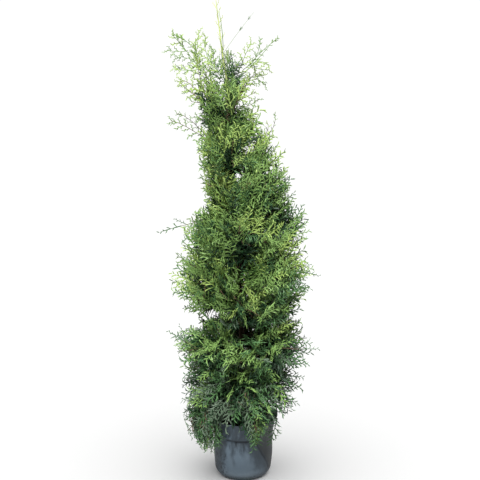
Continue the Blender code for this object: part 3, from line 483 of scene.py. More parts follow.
def smooth_line(points, at):
    """Catmull-Rom through rows of (key, values...), read at one key."""
    keys = [row[0] for row in points]
    at = clamped(at, keys[0], keys[-1])
    i = max(j for j in range(len(points) - 1) if keys[j] <= at)
    before = points[max(i - 1, 0)]
    start, end = points[i], points[i + 1]
    after = points[min(i + 2, len(points) - 1)]
    span = end[0] - start[0]
    t = (at - start[0]) / span
    result = []
    for axis in range(1, len(start)):
        slope_in = (end[axis] - before[axis]) / (end[0] - before[0]) * span
        slope_out = (after[axis] - start[axis]) / (after[0] - start[0]) * span
        result.append(
            (2 * t**3 - 3 * t**2 + 1) * start[axis]
            + (t**3 - 2 * t**2 + t) * slope_in
            + (3 * t**2 - 2 * t**3) * end[axis]
            + (t**3 - t**2) * slope_out
        )
    return result


# ------------------------------------------------------------------ the crown's plan


def trunk_axis(height):
    x, y = smooth_line(TRUNK_LINE, height)
    return Vector((x, y, height))


def trunk_radius(height):
    foot = TRUNK_LINE[0][0]
    share = clamped((height - foot) / (TRUNK_TOP - foot))
    taper = (TRUNK_FOOT_RADIUS - TRUNK_TIP_RADIUS) * (1 - share) ** TRUNK_TAPER
    return TRUNK_TIP_RADIUS + taper + FLARE * math.exp(-(height - foot) / FLARE_HEIGHT)


def crown_reach(height, azimuth):
    """How far from the trunk the foliage reaches at a height, in one direction."""
    left, right = smooth_line(OUTLINE, height)
    axis = trunk_axis(height)
    to_right, to_left = right - axis.x, axis.x - left
    return (to_right + to_left) / 2 + (to_right - to_left) / 2 * math.cos(azimuth)


def crown_level(point):
    """1 on the crown's outline, less inside."""
    axis = trunk_axis(point.z)
    away = math.hypot(point.x - axis.x, point.y - axis.y)
    return away / max(crown_reach(point.z, math.atan2(point.y - axis.y, point.x - axis.x)), LEAST_REACH)


class Mass:
    """One mass of foliage: its space, a tilted ellipsoid, and the line of its stem."""

    def __init__(self, tier, index, azimuth, reach, rng):
        self.tier = tier.number
        self.index = index
        self.azimuth = azimuth
        self.on_bough = tier.on_bough
        rise = math.radians(tier.rise + rng.uniform(-RISE_SWAY, RISE_SWAY))
        height = tier.height + rng.uniform(-HEIGHT_SWAY, HEIGHT_SWAY)
        if rise < math.radians(SKIRT_RISE):
            height += SKIRT_DROP * math.cos(azimuth)
        half_reach = (1 - tier.start) / 2 * reach
        half_width = max(WIDTH_SHARES[tier.spacing] * reach, LEAST_HALF_WIDTH)
        self.half = Vector((half_reach, half_width, tier.half_height))
        self.out = level_way(azimuth)
        self.across = UP.cross(self.out)
        self.centre = trunk_axis(height) + self.out * (tier.start * reach + half_reach)
        self.planes = []
        self.along = (self.out * math.cos(rise) + UP * math.sin(rise)).normalized()
        length = half_reach / math.cos(rise)
        self.stem_start = self.centre + self.along * length * STEM_SHARES[0]
        self.stem_end = self.centre + self.along * length * STEM_SHARES[1]
        self.place = (tier.number, index)
        self.patch = math.radians(tier.spacing) * reach * PATCH_HEIGHT * tier.half_height
        self.zone = next(name for name, tiers in ZONES if tier.number in tiers)

    def size_along(self, normal):
        sizes = zip(self.half, (self.out, self.across, UP))
        return math.sqrt(sum((half * normal.dot(axis)) ** 2 for half, axis in sizes))

    def level(self, point):
        """1 on the outline of the space, less inside."""
        d = point - self.centre
        sizes = zip(self.half, (self.out, self.across, UP))
        return math.sqrt(sum((d.dot(axis) / half) ** 2 for half, axis in sizes))

    def holds(self, point, stretch=1.0):
        if self.level(point) > SPACE_STRETCH * stretch or crown_level(point) > stretch:
            return False
        return all(normal.dot(point) <= limit - MASS_MARGIN for normal, limit in self.planes)

    def edge(self, ray):
        """How far the space goes from its middle along a ray."""
        near, far = 0.0, LONGEST_RAY
        for _ in range(RAY_HALVINGS):
            half_way = (near + far) / 2
            if self.holds(self.centre + ray * half_way):
                near = half_way
            else:
                far = half_way
        return near


def part_spaces(first, second):
    """A plane between two masses, nearer to the smaller one."""
    line = second.centre - first.centre
    normal = line.normalized()
    sizes = [mass.size_along(normal) for mass in (first, second)]
    share = 0.5 if sum(sizes) * SPACE_ROOM < line.length else sizes[0] / sum(sizes)
    middle = first.centre + line * share
    first.planes.append((normal, normal.dot(middle)))
    second.planes.append((-normal, -normal.dot(middle)))


@functools.lru_cache(maxsize=1)
def plan_masses():
    masses = []
    for tier in TIERS:
        for k in range(tier.masses):
            rng = random.Random(SEED + 100 * tier.number + k)
            azimuth = math.radians(tier.first + tier.spacing * k + rng.uniform(-AZIMUTH_SWAY, AZIMUTH_SWAY))
            heights = [tier.height + step for step in REACH_HEIGHTS]
            reach = sum(crown_reach(height, azimuth) for height in heights) / len(heights)
            masses.append(Mass(tier, k, azimuth, reach * rng.uniform(*REACH_SWAY), rng))
    leader = Mass(LEADER_TIER, 0, math.radians(LEADER_TIER.first), LEADER_REACH, random.Random(SEED + 7))
    leader.half.y = LEADER_WIDTH * LEADER_REACH
    masses.append(leader)
    for i, first in enumerate(masses):
        for second in masses[i + 1 :]:
            part_spaces(first, second)
    return masses


def limb_size(mass):
    """How thick a mass's bough and stem are, against the lowest ones."""
    return 1.0 - THINNER_BY_TIER * max(mass.tier - FULL_SIZE_TIER, 0)


def bough_line(mass, steps):
    end = mass.stem_start
    out = end - trunk_axis(end.z)
    start = trunk_axis(max(end.z - BOUGH_DROP * math.hypot(out.x, out.y), SOIL_TOP + BOUGH_FOOT))
    bend = end - mass.along * BOUGH_BEND * (end - start).length
    return curve_between(start, bend, end, steps)


def stem_line(mass):
    """From the bough's tip, or from inside the trunk, on to where the last twig leaves."""
    tip = mass.stem_end + mass.along * STEM_PAST * (mass.stem_end - mass.stem_start).length
    line = [mass.stem_start, mass.stem_start.lerp(tip, STEM_MIDDLE), tip]
    if mass.on_bough:
        return line
    back = mass.stem_start - mass.along * STEM_INSIDE
    out = back - trunk_axis(back.z)
    rise = (STEM_RISES[0] + STEM_RISES[1] * mass.index) * math.hypot(out.x, out.y)
    return [trunk_axis(back.z - rise), *line]


# ------------------------------------------------------------------ finer growth


def pot_radius(height, corner_steps=ROUGH_CORNER):
    """The pot's outer radius, read off its profile."""
    return smooth_line([(z, r) for r, z in pot_outline(corner_steps)], height)[0]


def thick_level(point):
    """1 where the thick part of the crown ends, less inside."""
    left, right = smooth_line(THICK_REACH, point.z)
    axis = trunk_axis(point.z)
    away = Vector((point.x - axis.x, point.y - axis.y))
    side = away.x / max(away.length, NEAR_AXIS)
    return crown_level(point) / ((left + right) / 2 + (right - left) / 2 * side)


def clear_of_gaps(point):
    """Whether a place keeps off the gaps that show sky."""
    for x, height, fall, radius in SKY_GAPS:
        if math.hypot(point.x - x, point.z - height + fall * point.y) < radius:
            return False
    return True


def clear_of_limbs(root, tip):
    """Whether a spray keeps off the trunk, the pot, the floor and the gaps that show sky."""
    for left, right, top in BARE_WALLS:
        if left < tip.x < right and tip.y < 0 and tip.z < top:
            return False
    for share in SPRAY_PLACES:
        point = root.lerp(tip, share)
        if not clear_of_gaps(point):
            return False
        axis = trunk_axis(point.z)
        in_front = point.y < 0 and abs(point.x - axis.x) < BARE_WIDTH
        if in_front and BARE_TRUNK[0] < point.z < BARE_TRUNK[1]:
            return False
        if point.z < TRUNK_TOP and (point - axis).length < trunk_radius(point.z) + LIMB_CLEARANCE:
            return False
        if point.z < POT_RIM + POT_CLEARANCE:
            if math.hypot(point.x, point.y) < pot_radius(point.z) + POT_CLEARANCE:
                return False
    return tip.z > FLOOR_CLEARANCE


def deal_colour(height, light, rng):
    """A colour of the list at this height, from its pale end where light is 1 to its dark end at 0."""
    shares = [max(share, 0.0) for share in smooth_line(COLOUR_SHARES, height)]
    place = (LIGHT_SHARE * (1 - light) + (1 - LIGHT_SHARE) * rng.random()) * sum(shares)
    for name, share in zip(COLOUR_NAMES, shares):
        place -= share
        if place <= 0:
            return name
    return COLOUR_NAMES[-1]


class Grower:
    """Grows twigs and sprays, for one mass or straight from the trunk."""

    def __init__(self, crown, seed):
        self.crown = crown
        self.rng = random.Random(seed)
        self.sprays = []
        self.twigs = []

    def facing(self, aim, out, upright=None):
        """Across its aim, an upright spray faces sideways and any other faces outwards and up."""
        if upright is None:
            low, high = UPRIGHT_SHARES
            upright = self.rng.random() < low + (high - low) * abs(out.normalized().x)
        outwards, upwards = FLAT_FACING
        normal = square_to(aim, aim.cross(UP) if upright else out * outwards + UP * upwards)
        return Matrix.Rotation(self.rng.uniform(-SPRAY_TWIST, SPRAY_TWIST), 3, aim) @ normal

    def light_at(self, place):
        """1 where the crown is young and in painted light, 0 where it is old and in painted shade."""
        return TRUNK_LIGHT

    def add_spray(self, kind, root, aim, length, normal, zone, stretch=WISP_STRETCH, colour=None):
        """The longest size that keeps to the crown and off the limbs, or none."""
        thick = kind in ("dense", "inner") and self.rng.random() > WISP_SHARE
        if kind == "inner":
            # painted shade: every inner spray takes the near-black green, which stands for the shade deep
            # in the crown
            colour = "shade_green"
        elif colour is None and self.rng.random() < DRY_SHARE:
            colour, length = "dry_brown", length * DRY_SIZE
        for size in SPRAY_SIZES:
            tip = root + aim * length * size
            if thick and thick_level(tip) > 1 or not thick and crown_level(tip) > stretch:
                continue
            if clear_of_limbs(root, tip):
                colour = colour or deal_colour(tip.z, self.light_at(tip), self.rng)
                self.sprays.append(Spray(root, aim, normal, length * size, kind, colour, zone))
                return True
        return False

    def add_twig(self, start, bend, end, zone, radii=TWIG_RADII):
        points = curve_between(start, bend, end, TWIG_STEPS)
        self.twigs.append(Twig(points, tapered(*radii, TWIG_STEPS), zone))
        return points


class MassGrower(Grower):
    """Fills one mass, from its stem out."""

    def __init__(self, mass, crown):
        super().__init__(crown, SEED + 5000 + 10 * mass.tier + mass.index)
        self.mass = mass
        self.lift = smooth_line(TIER_LIFT, mass.tier)[0]

    def light_at(self, place):
        """Painted light on the upper and outer side of the mass and painted shade below, partly as its
        younger and older growth.
        """
        mass = self.mass
        d = place - mass.centre
        up = d.z / mass.half.z
        out = d.dot(mass.out) / mass.half.x
        middle, top_share, outer_share = MASS_BRIGHTNESS
        light = middle + MASS_LIGHT.get(mass.place, 0.0)
        return clamped(light + top_share * up + outer_share * out)

    def spray_length(self):
        return self.crown.spray_length * self.rng.uniform(*LENGTH_SWAY)

    def spray_facing(self, aim, root):
        mass = self.mass
        outward = (root - mass.centre + mass.along * STEM_INSIDE).normalized()
        return self.facing(aim, (mass.out * MASS_FACING[0] + outward * MASS_FACING[1]).normalized())

    def grow_shell(self, count, depths, kind):
        """Sprays round the mass by the golden angle, each on a twig of its own."""
        mass, rng = self.mass, self.rng
        along_ray, along_stem, by_chance = SHELL_AIM
        turn = rng.uniform(0, 2 * math.pi)
        for k in range(count):
            lift = TOP_LIFT - LIFT_RANGE * (k + 0.5) / count
            turn += GOLDEN
            ring = math.sqrt(1 - lift * lift)
            ray = mass.out * lift * mass.half.x
            ray += mass.across * math.cos(turn) * ring * mass.half.y
            ray += UP * math.sin(turn) * ring * mass.half.z
            ray.normalize()
            tip = mass.centre + ray * mass.edge(ray) * rng.uniform(*depths)
            aim = ray * along_ray + mass.along * along_stem + UP * self.lift + any_sway(rng, by_chance)
            aim.normalize()
            if kind == "dense" and ray.z < HOLLOW_BELOW and rng.random() < HOLLOW_SHARE:
                continue
            length = self.spray_length()
            root = tip - aim * length
            if not self.add_spray(kind, root, aim, length, self.spray_facing(aim, root), mass.zone):
                continue
            start = self.stem_place(root)
            way = root - start
            bend = start + (mass.along * TWIG_BEND[0] + way.normalized() * TWIG_BEND[1]) * way.length
            points = self.add_twig(start, bend, root, mass.zone)
            if kind == "dense" and way.length > SIDE_FROM:
                self.add_side_spray(points, aim)

    def stem_place(self, root):
        """Where on the stem a twig to a place leaves: some way behind it."""
        mass = self.mass
        stem = mass.stem_end - mass.stem_start
        share = (root - mass.stem_start).dot(stem) / stem.length_squared
        return mass.stem_start + stem * clamped(share - STEM_PLACES[0], STEM_PLACES[1])

    def add_side_spray(self, points, aim):
        rng = self.rng
        root = points[2].lerp(points[3], rng.random())
        normal = self.spray_facing(aim, root)
        side = Matrix.Rotation(rng.choice((-1, 1)) * SIDE_ANGLE, 3, normal) @ aim
        length = self.spray_length() * SIDE_SIZE
        self.add_spray("dense", root, side.normalized(), length, normal, self.mass.zone)

    def grow_shoot(self, start, via, tip, normal, size=1.0):
        """A curved shoot through one place to its tip, with branchlets on both sides in one plane."""
        mass, rng = self.mass, self.rng
        line = self.add_twig(start, bend_through(start, via, tip), tip, mass.zone, FAN_RADII)
        colour = deal_colour(tip.z, min(self.light_at(tip) + SHOOT_LIGHT, 1.0), rng)
        if colour == "shade_green":  # an open shoot stands in the light
            colour = "deep_green"
        count = max(round((tip - start).length / BRANCHLET_STEP), 3)
        side = rng.choice((-1, 1))
        for k in range(count):
            place = (k + BRANCHLET_FIRST) / count
            root, along = place_on(line, place)
            side = -side
            turn = BRANCHLET_TURNS[0] - BRANCHLET_TURNS[1] * place
            aim = Matrix.Rotation(side * FROND_ANGLE * turn, 3, normal) @ along
            aim = (aim + any_sway(rng, BRANCHLET_STRAY)).normalized()
            length = BRANCHLETS[0] + (BRANCHLETS[1] - BRANCHLETS[0]) * place
            length *= size * rng.uniform(*BRANCHLET_SWAY)
            self.sprays.append(Spray(root, aim, square_to(aim, normal), length, "open", colour, mass.zone))
        end = line[-1] - line[-2]
        aim = end.normalized()
        facing = square_to(aim, normal)
        self.sprays.append(Spray(line[-2], aim, facing, end.length, "open", colour, mass.zone))

    def grow_fans(self):
        """The shoots of the open top that have a place of their own."""
        mass, rng = self.mass, self.rng
        for place, share, via, tip, size in FANS:
            if place == mass.place:
                start = mass.stem_start.lerp(mass.stem_end, share)
                normal = Vector((rng.uniform(-FAN_TILT, FAN_TILT), -1.0, rng.uniform(-FAN_TILT, FAN_TILT)))
                normal.normalize()
                self.grow_shoot(start, Vector(via), Vector(tip), normal, size)

    def grow_fronds(self):
        """Open shoots along both sides of the stem, in one upright plane."""
        mass, rng = self.mass, self.rng
        top = FROND_TOPS.get(mass.place, FROND_TOP)
        start, end = mass.stem_start - mass.along * FROND_FOOT, mass.stem_end
        normal = self.facing(mass.along, mass.out, True)
        count = max(round((end - start).length / FROND_STEP), 2)
        side = rng.choice((-1, 1))
        for k in range(count):
            root = start.lerp(end, (k + 0.5) / count)
            side = -side
            aim = Matrix.Rotation(side * FROND_ANGLE, 3, normal) @ mass.along
            aim = (aim + UP * FROND_LIFT + any_sway(rng, FROND_STRAY)).normalized()
            self.grow_frond(root, aim, normal, top)
        self.grow_frond(end, (mass.along + any_sway(rng, LAST_FROND_STRAY)).normalized(), normal, top)

    def grow_frond(self, root, aim, normal, top):
        """One open shoot, as long as the crown and its top height let it be."""
        length = self.crown.frond_length * self.rng.uniform(*FROND_SWAY)
        if aim.z > 0:
            length = min(length, max(top - root.z, 0.0) / aim.z)
        for size in FROND_SIZES:
            tip = root + aim * length * size
            long_enough = length * size > LEAST_FROND
            if long_enough and crown_level(tip) <= FROND_STRETCH and clear_of_limbs(root, tip):
                self.grow_shoot(root, root.lerp(tip, 0.5) - UP * FROND_SAG * length * size, tip, normal)
                return

    def grow_side_shoot(self):
        """The long shoot beside the leader's tip, bare but for two tufts, and the one along the leader."""
        rng, zone = self.rng, self.mass.zone
        low, middle, high, off = TWIN_SHOOT
        beside = Vector((off, 0, 0))
        bend, end = trunk_axis(middle) + beside * TWIN_BENDS[0], trunk_axis(high) + beside * TWIN_BENDS[1]
        self.add_twig(trunk_axis(low), bend, end, zone)
        foot, via, tip = SIDE_SHOOT
        start, via, tip = trunk_axis(foot), Vector(via), Vector(tip)
        line = self.add_twig(start, bend_through(start, via, tip), tip, zone, SIDE_RADII)
        for place, colour, count in TUFTS:
            root, along = place_on(line, place)
            for _ in range(count):
                aim = (along + any_sway(rng, TUFT_STRAY)).normalized()
                size = TUFT_SIZE * rng.uniform(*TIP_SWAY)
                self.sprays.append(Spray(root, aim, aim.cross(UP).normalized(), size, "tip", colour, zone))

    def grow_stem(self):
        mass = self.mass
        line = stem_line(mass)
        thick, thin = BOUGH_TIP_RADIUS * limb_size(mass), STEM_TIP_RADIUS
        if not mass.on_bough:
            thick = clamped(YOUNG_STEM_SHARE * trunk_radius(line[0].z), *YOUNG_STEM_RADII)
            thin = YOUNG_TIP_RADIUS
            bend = line[1].lerp(line[2], 0.5) - UP * YOUNG_SAG
            line = curve_between(line[0], bend, line[-1], YOUNG_STEM_STEPS)
        self.twigs.append(Twig(line, tapered(thick, thin, len(line) - 1), mass.zone))

    def grow_lone_shoot(self, tip):
        """A long twig past the outline, with an open frond at its end and two beside it."""
        mass, rng = self.mass, self.rng
        root = mass.stem_start.lerp(mass.stem_end, LONE_START)
        reach = tip - root
        aim = reach.normalized()
        knee = root + reach * LONE_TWIG
        colour = LONE_COLOURS[tip.z > LONE_FRESH_ABOVE]
        self.add_twig(root, root.lerp(knee, 0.5) - UP * LONE_SAG, knee, mass.zone)
        normal = aim.cross(UP).normalized()
        length = reach.length * (1 - LONE_TWIG)
        self.add_spray("lone", knee, aim, length, normal, mass.zone, LONE_STRETCH, colour)
        for side, place in LONE_SIDES:
            turned = Matrix.Rotation(side * FROND_ANGLE * LONE_SIDE_TURN, 3, normal) @ aim
            length = self.crown.frond_length * rng.uniform(*LONE_SIDE_SIZES)
            start = root.lerp(knee, place)
            self.add_spray("lone", start, turned, length, normal, mass.zone, LONE_STRETCH, colour)

    def grow_skirt(self, turn, width, count, lowest, spread, farthest):
        """Sprays that hang down outside the pot's rim."""
        mass, rng = self.mass, self.rng
        for _ in range(count):
            out = level_way(mass.azimuth + math.radians(turn + rng.uniform(-width, width)))
            aim = (out * rng.uniform(*SKIRT_LEAN) - UP + any_sway(rng, SKIRT_STRAY)).normalized()
            length = self.spray_length()
            height = lowest + spread * rng.random() ** SKIRT_FALL
            tip = out * (pot_radius(height) + rng.uniform(SKIRT_GAP, farthest)) + UP * height
            root = tip - aim * length
            facing = self.facing(aim, out, rng.random() < SKIRT_UPRIGHT)
            colour = rng.choice(SKIRT_COLOURS)
            if self.add_spray("dense", root, aim, length, facing, mass.zone, SKIRT_STRETCH, colour):
                start = self.stem_place(root)
                bend = start.lerp(root, 0.5) + (out + UP) * SKIRT_ARCH * (root - start).length
                self.add_twig(start, bend, root, mass.zone)

    def grow(self):
        mass = self.mass
        if mass.tier == LEADER_TIER.number:
            self.grow_side_shoot()
            return
        self.grow_stem()
        tip = LONE_SHOOTS.get(mass.place)
        if tip:
            self.grow_lone_shoot(Vector(tip))
        self.grow_fans()
        if mass.tier > CORE_TOP_TIER:
            self.grow_fronds()
            return
        if mass.tier == CORE_TOP_TIER:
            self.grow_fronds()
        for index, *skirt in SKIRT:
            if mass.place == (SKIRT_TIER, index):
                self.grow_skirt(*skirt)
        count = round(self.crown.sprays_per_area * mass.patch * MASS_FILL.get(mass.place, 1.0))
        self.grow_shell(count, OUTER_DEPTH, "dense")
        self.grow_shell(round(count * INNER_SHARE), INNER_DEPTH, "inner")
        aim = (mass.along + UP * self.lift * 0.5).normalized()
        facing = self.spray_facing(aim, mass.stem_end)
        self.add_spray("dense", mass.stem_end, aim, self.spray_length(), facing, mass.zone, END_STRETCH)


class TrunkGrower(Grower):
    """Fills the places between the masses with sprays from the trunk itself, and dresses the leader."""

    def grow(self):
        height, turn = SOIL_TOP + TRUNK_SPRAYS_FROM, 0.0
        while height < TRUNK_SPRAY_TOP:
            turn += GOLDEN
            self.add_trunk_spray(height, turn)
            height += TRUNK_SPRAY_STEP * (LOW_TRUNK_SHARE if height < LOW_TRUNK else 1.0)
        for clump in CLUMPS:
            self.grow_clump(*clump)
        height, turn = LEADER_SHOOTS_FROM, 0.0
        while height < TRUNK_TOP - LEADER_BARE_TIP:
            turn += GOLDEN
            side = level_way(turn)
            aim = (UP * LEADER_SHOOT_AIM[0] + side * LEADER_SHOOT_AIM[1]).normalized()
            length = LEADER_SHOOT * self.rng.uniform(*LEADER_SHOOT_SWAY)
            root = trunk_axis(height) + side * (trunk_radius(height) + LEADER_GAP)
            facing = aim.cross(UP).normalized()
            self.sprays.append(Spray(root, aim, facing, length, "tip", "pale_tip", "top"))
            height += LEADER_STEP * self.rng.uniform(*TIP_SWAY)

    def grow_clump(self, height, top, step, length, leans, forwards, zone, names):
        """Sprays close together up the trunk, all to one side."""
        rng = self.rng
        while height < top:
            aim = Vector((rng.uniform(*leans), -rng.uniform(*forwards), 1.0)).normalized()
            root = trunk_axis(height) + aim * BARK_GAP
            size = length * rng.uniform(*CLUMP_SWAY)
            if clear_of_gaps(root + aim * size * 0.5) and clear_of_gaps(root + aim * size):
                facing = self.facing(aim, CLUMP_FACE)
                self.sprays.append(Spray(root, aim, facing, size, "dense", rng.choice(names), zone))
            height += step

    def add_trunk_spray(self, height, turn):
        """One spray on a twig that leaves the trunk, none where the trunk shows in front."""
        rng = self.rng
        side = level_way(turn)
        if height > BARE_TRUNK[0] and side.y < FRONT_SIDE:
            return
        zone = next(name for floor, name in ZONE_FLOORS if height > floor)
        start = trunk_axis(height)
        reach = rng.uniform(*TRUNK_SPRAY_REACH) * crown_reach(height, turn)
        root = start + side * (trunk_radius(height) + BARK_GAP + reach) + UP * TRUNK_SPRAY_RISE * reach
        outwards, upwards, by_chance = TRUNK_SPRAY_AIM
        aim = (side * outwards + UP * upwards + any_sway(rng, by_chance)).normalized()
        kind = "inner" if rng.random() < TRUNK_SHADED else "dense"
        length = self.crown.spray_length * rng.uniform(*TRUNK_SPRAY_SWAY)
        if kind == "inner" and height > INNER_TOP:
            length *= INNER_TOP_SIZE
        facing = self.facing(aim, side)
        if self.add_spray(kind, root, aim, length, facing, zone, TRUNK_SPRAY_INSIDE):
            self.add_twig(start, start.lerp(root, 0.5) - UP * TRUNK_TWIG_SAG * reach, root, zone)


@functools.lru_cache(maxsize=1)
def grow_crown():
    """Every spray and twig of the plant."""
    crown = bpy.context.scene.thuja_crown
    growers = [MassGrower(mass, crown) for mass in plan_masses()] + [TrunkGrower(crown, SEED + 9000)]
    sprays, twigs = [], []
    for grower in growers:
        grower.grow()
        sprays += grower.sprays
        twigs += grower.twigs
    return sprays, twigs


# ------------------------------------------------------------------ meshes


def new_object(name, mesh):
    obj = bpy.data.objects.new(name, mesh)
    bpy.context.scene.collection.objects.link(obj)
    return obj


def object_from(name, points, faces, smooth=False):
    mesh = bpy.data.meshes.new(name)
    mesh.from_pydata(points, [], faces)
    bm = bmesh.new()
    bm.from_mesh(mesh)
    bmesh.ops.recalc_face_normals(bm, faces=bm.faces)
    bm.to_mesh(mesh)
    bm.free()
    if smooth:
        mesh.shade_smooth()
    return new_object(name, mesh)


def finish_piece(piece, material, slot, *nodes):
    """The end of every piece: its material, its body and the solids it stands for; the slot is not used."""
    piece.data.materials.clear()
    piece.data.materials.append(material)
    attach(piece, "root")
    if nodes:
        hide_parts(*nodes)


def frame_along(direction):
    """Two unit vectors across a direction."""
    across = direction.cross(UP)
    if across.length < 1e-4:
        across = direction.cross(Vector((0, 1, 0)))
    across.normalize()
    return across, across.cross(direction).normalized()


def add_tube(points, faces, line, radii, sides, relief=None):
    """Adds a closed tapering limb. The relief is a factor on the radius, from angle and place."""
    first = len(points)
    for i, (centre, radius) in enumerate(zip(line, radii)):
        before, after = line[max(i - 1, 0)], line[min(i + 1, len(line) - 1)]
        across, over = frame_along((after - before).normalized())
        for k in range(sides):
            angle = 2 * math.pi * k / sides
            factor = relief(angle, centre) if relief else 1.0
            offset = (across * math.cos(angle) + over * math.sin(angle)) * radius * factor
            points.append(centre + offset)
    for ring in range(len(line) - 1):
        low = first + ring * sides
        for k in range(sides):
            n = (k + 1) % sides
            faces.append((low + k, low + n, low + sides + n, low + sides + k))
    last = len(points) - sides
    faces.append(tuple(range(first, first + sides)))
    faces.append(tuple(range(last, last + sides))[::-1])


def revolved(name, profile, segments, bulge):
    """A closed body turned from a profile whose first and last points lie on the axis."""
    points = [Vector((0, 0, profile[0][1])), Vector((0, 0, profile[-1][1]))]
    faces = []
    rings = profile[1:-1]
    for radius, height in rings:
        for k in range(segments):
            angle = 2 * math.pi * k / segments
            r = radius + bulge(height, angle)
            points.append(Vector((r * math.cos(angle), r * math.sin(angle), height)))
    for k in range(segments):
        n = (k + 1) % segments
        faces.append((0, 2 + n, 2 + k))
        top = 2 + (len(rings) - 1) * segments
        faces.append((1, top + k, top + n))
        for ring in range(len(rings) - 1):
            low = 2 + ring * segments
            faces.append((low + k, low + n, low + segments + n, low + segments + k))
    return object_from(name, points, faces, smooth=True)


# ------------------------------------------------------------------ one spray


# lengths in spray lengths: between branches, longest branch, between teeth, tooth, thickness of a branch,
# share of branches that stay short, degrees that a branch curves forwards, drop of the sides and of the tip
SprayStyle = namedtuple("SprayStyle", "step reach tooth_step tooth width short bend fold droop")
SPRAY_STYLES = {
    "dense": SprayStyle(0.090, 0.46, 0.088, 0.170, 0.036, 0.08, 2, 0.03, 0.04),
    "inner": SprayStyle(0.130, 0.44, 0.140, 0.200, 0.060, 0.10, 6, 0.10, 0.10),
    "open": SprayStyle(0.190, 0.38, 2.000, 0.300, 0.098, 0.00, 10, 0.04, 0.04),
    "lone": SprayStyle(0.130, 0.34, 0.110, 0.140, 0.040, 0.25, 8, 0.04, 0.04),
    "tip": SprayStyle(0.190, 0.30, 0.200, 0.220, 0.075, 0.60, 5, 0.05, -0.10),
}
SPRAY_VARIANTS = {"dense": 9, "inner": 3, "open": 6, "lone": 3, "tip": 3}
BRANCH_ANGLES = (math.radians(52), math.radians(32))  # at the foot and at the tip of a spray
TOOTH_ANGLE = math.radians(36)
BRANCH_KNEE = 0.62  # share of a branch before it curves
BRANCH_RISE = 0.42  # how far its end may rise or sink
BRANCH_FOOT = 0.8  # its thickness at the foot, against its knee
BRANCH_SECTION = (0.15, 0.35)  # how far it reaches below and above its middle, in widths
TOOTH_SECTION = (0.2, 0.4)
TOOTH_WIDTH = 1.2  # against a branch's
TOOTH_SIZES = (1.25, 0.70)  # at a branch's foot, and how much shorter at its end
TEETH_BETWEEN = (1.3, 0.8)  # bare ends of a branch, in tooth steps
STALK = 0.06
LAST_BRANCH = 0.97
STEM_PARTS = ((0.0, 0.6), (0.45, 1.0))  # the two shoots, one in the other, of a spray's own stem
STEM_WIDTHS = (1.2, 0.4)  # against a branch's at the spray's foot, and how much thinner up it
STEM_KNEE = 0.35
SIDE_CURVE = 1.3  # how the sides of a spray hang: the power of the distance from its stem
STEP_SWAY = (0.85, 1.15)
STEM_SWAY = 0.03
ANGLE_SWAY = 0.12
BRANCH_SWAY = (0.75, 1.12)
SHORT_SWAY = (0.8, 1.2)
TOOTH_SWAY = (0.7, 1.2)
TOOTH_TURN = 0.2
TOOTH_RISE = 0.3
BRANCH_TAPER = 0.75  # power by which branches get shorter towards a spray's tip
FIRST_BRANCH = (0.45, 2.6)  # size of the first one, and how fast the next ones reach full size


def heading(angle, rise=0.0):
    return Vector((math.cos(angle), math.sin(angle), rise)).normalized()


def across_of(start, end):
    return Vector((-(end - start).y, (end - start).x, 0)).normalized()


def add_tooth(points, faces, start, end, width):
    """A closed pointed shoot of four faces."""
    first = len(points)
    side = across_of(start, end) * width / 2
    below, above = TOOTH_SECTION
    sunk = UP * width * below
    points += [start + side - sunk, start - side - sunk, start + UP * width * above, end]
    for a, b, c in ((0, 1, 2), (0, 3, 1), (1, 3, 2), (2, 3, 0)):
        faces.append((first + a, first + b, first + c))


def add_branch(points, faces, start, knee, end, width):
    """A closed bent shoot, nearly even in thickness up to its knee and pointed at its end."""
    first = len(points)
    side = across_of(start, end) * width / 2
    below, above = BRANCH_SECTION
    for place, size in ((start, BRANCH_FOOT), (knee, 1.0)):
        sunk = place - UP * width * below * size
        points += [sunk + side * size, sunk - side * size, place + UP * width * above * size]
    points.append(end)
    faces.append((first, first + 1, first + 2))
    for k in range(3):
        n = (k + 1) % 3
        faces.append((first + k, first + n, first + 3 + n, first + 3 + k))
        faces.append((first + 3 + k, first + 3 + n, first + 6))


def add_toothed_branch(points, faces, style, rng, root, side, angle, length):
    """A bent branch to one side of a spray's stem, with teeth on alternate sides of its own."""
    rise = rng.uniform(-BRANCH_RISE, BRANCH_RISE)
    bend = math.radians(style.bend)
    knee = root + heading(side * (angle + 0.5 * bend), rise) * length * BRANCH_KNEE
    end = knee + heading(side * (angle - 0.5 * bend), rise) * length * (1 - BRANCH_KNEE)
    add_branch(points, faces, root, knee, end, style.width)
    step, tooth_side = TEETH_BETWEEN[0] * style.tooth_step, side
    while step < length - TEETH_BETWEEN[1] * style.tooth_step:
        share = step / length
        if share < BRANCH_KNEE:
            foot = root.lerp(knee, share / BRANCH_KNEE)
        else:
            foot = knee.lerp(end, (share - BRANCH_KNEE) / (1 - BRANCH_KNEE))
        turn = side * angle + tooth_side * (TOOTH_ANGLE + rng.uniform(-TOOTH_TURN, TOOTH_TURN))
        reach = style.tooth * (TOOTH_SIZES[0] - TOOTH_SIZES[1] * share) * rng.uniform(*TOOTH_SWAY)
        tip = foot + heading(turn, rng.uniform(-TOOTH_RISE, TOOTH_RISE)) * reach
        add_tooth(points, faces, foot, tip, TOOTH_WIDTH * style.width)
        tooth_side = -tooth_side
        step += style.tooth_step * rng.uniform(*STEP_SWAY)


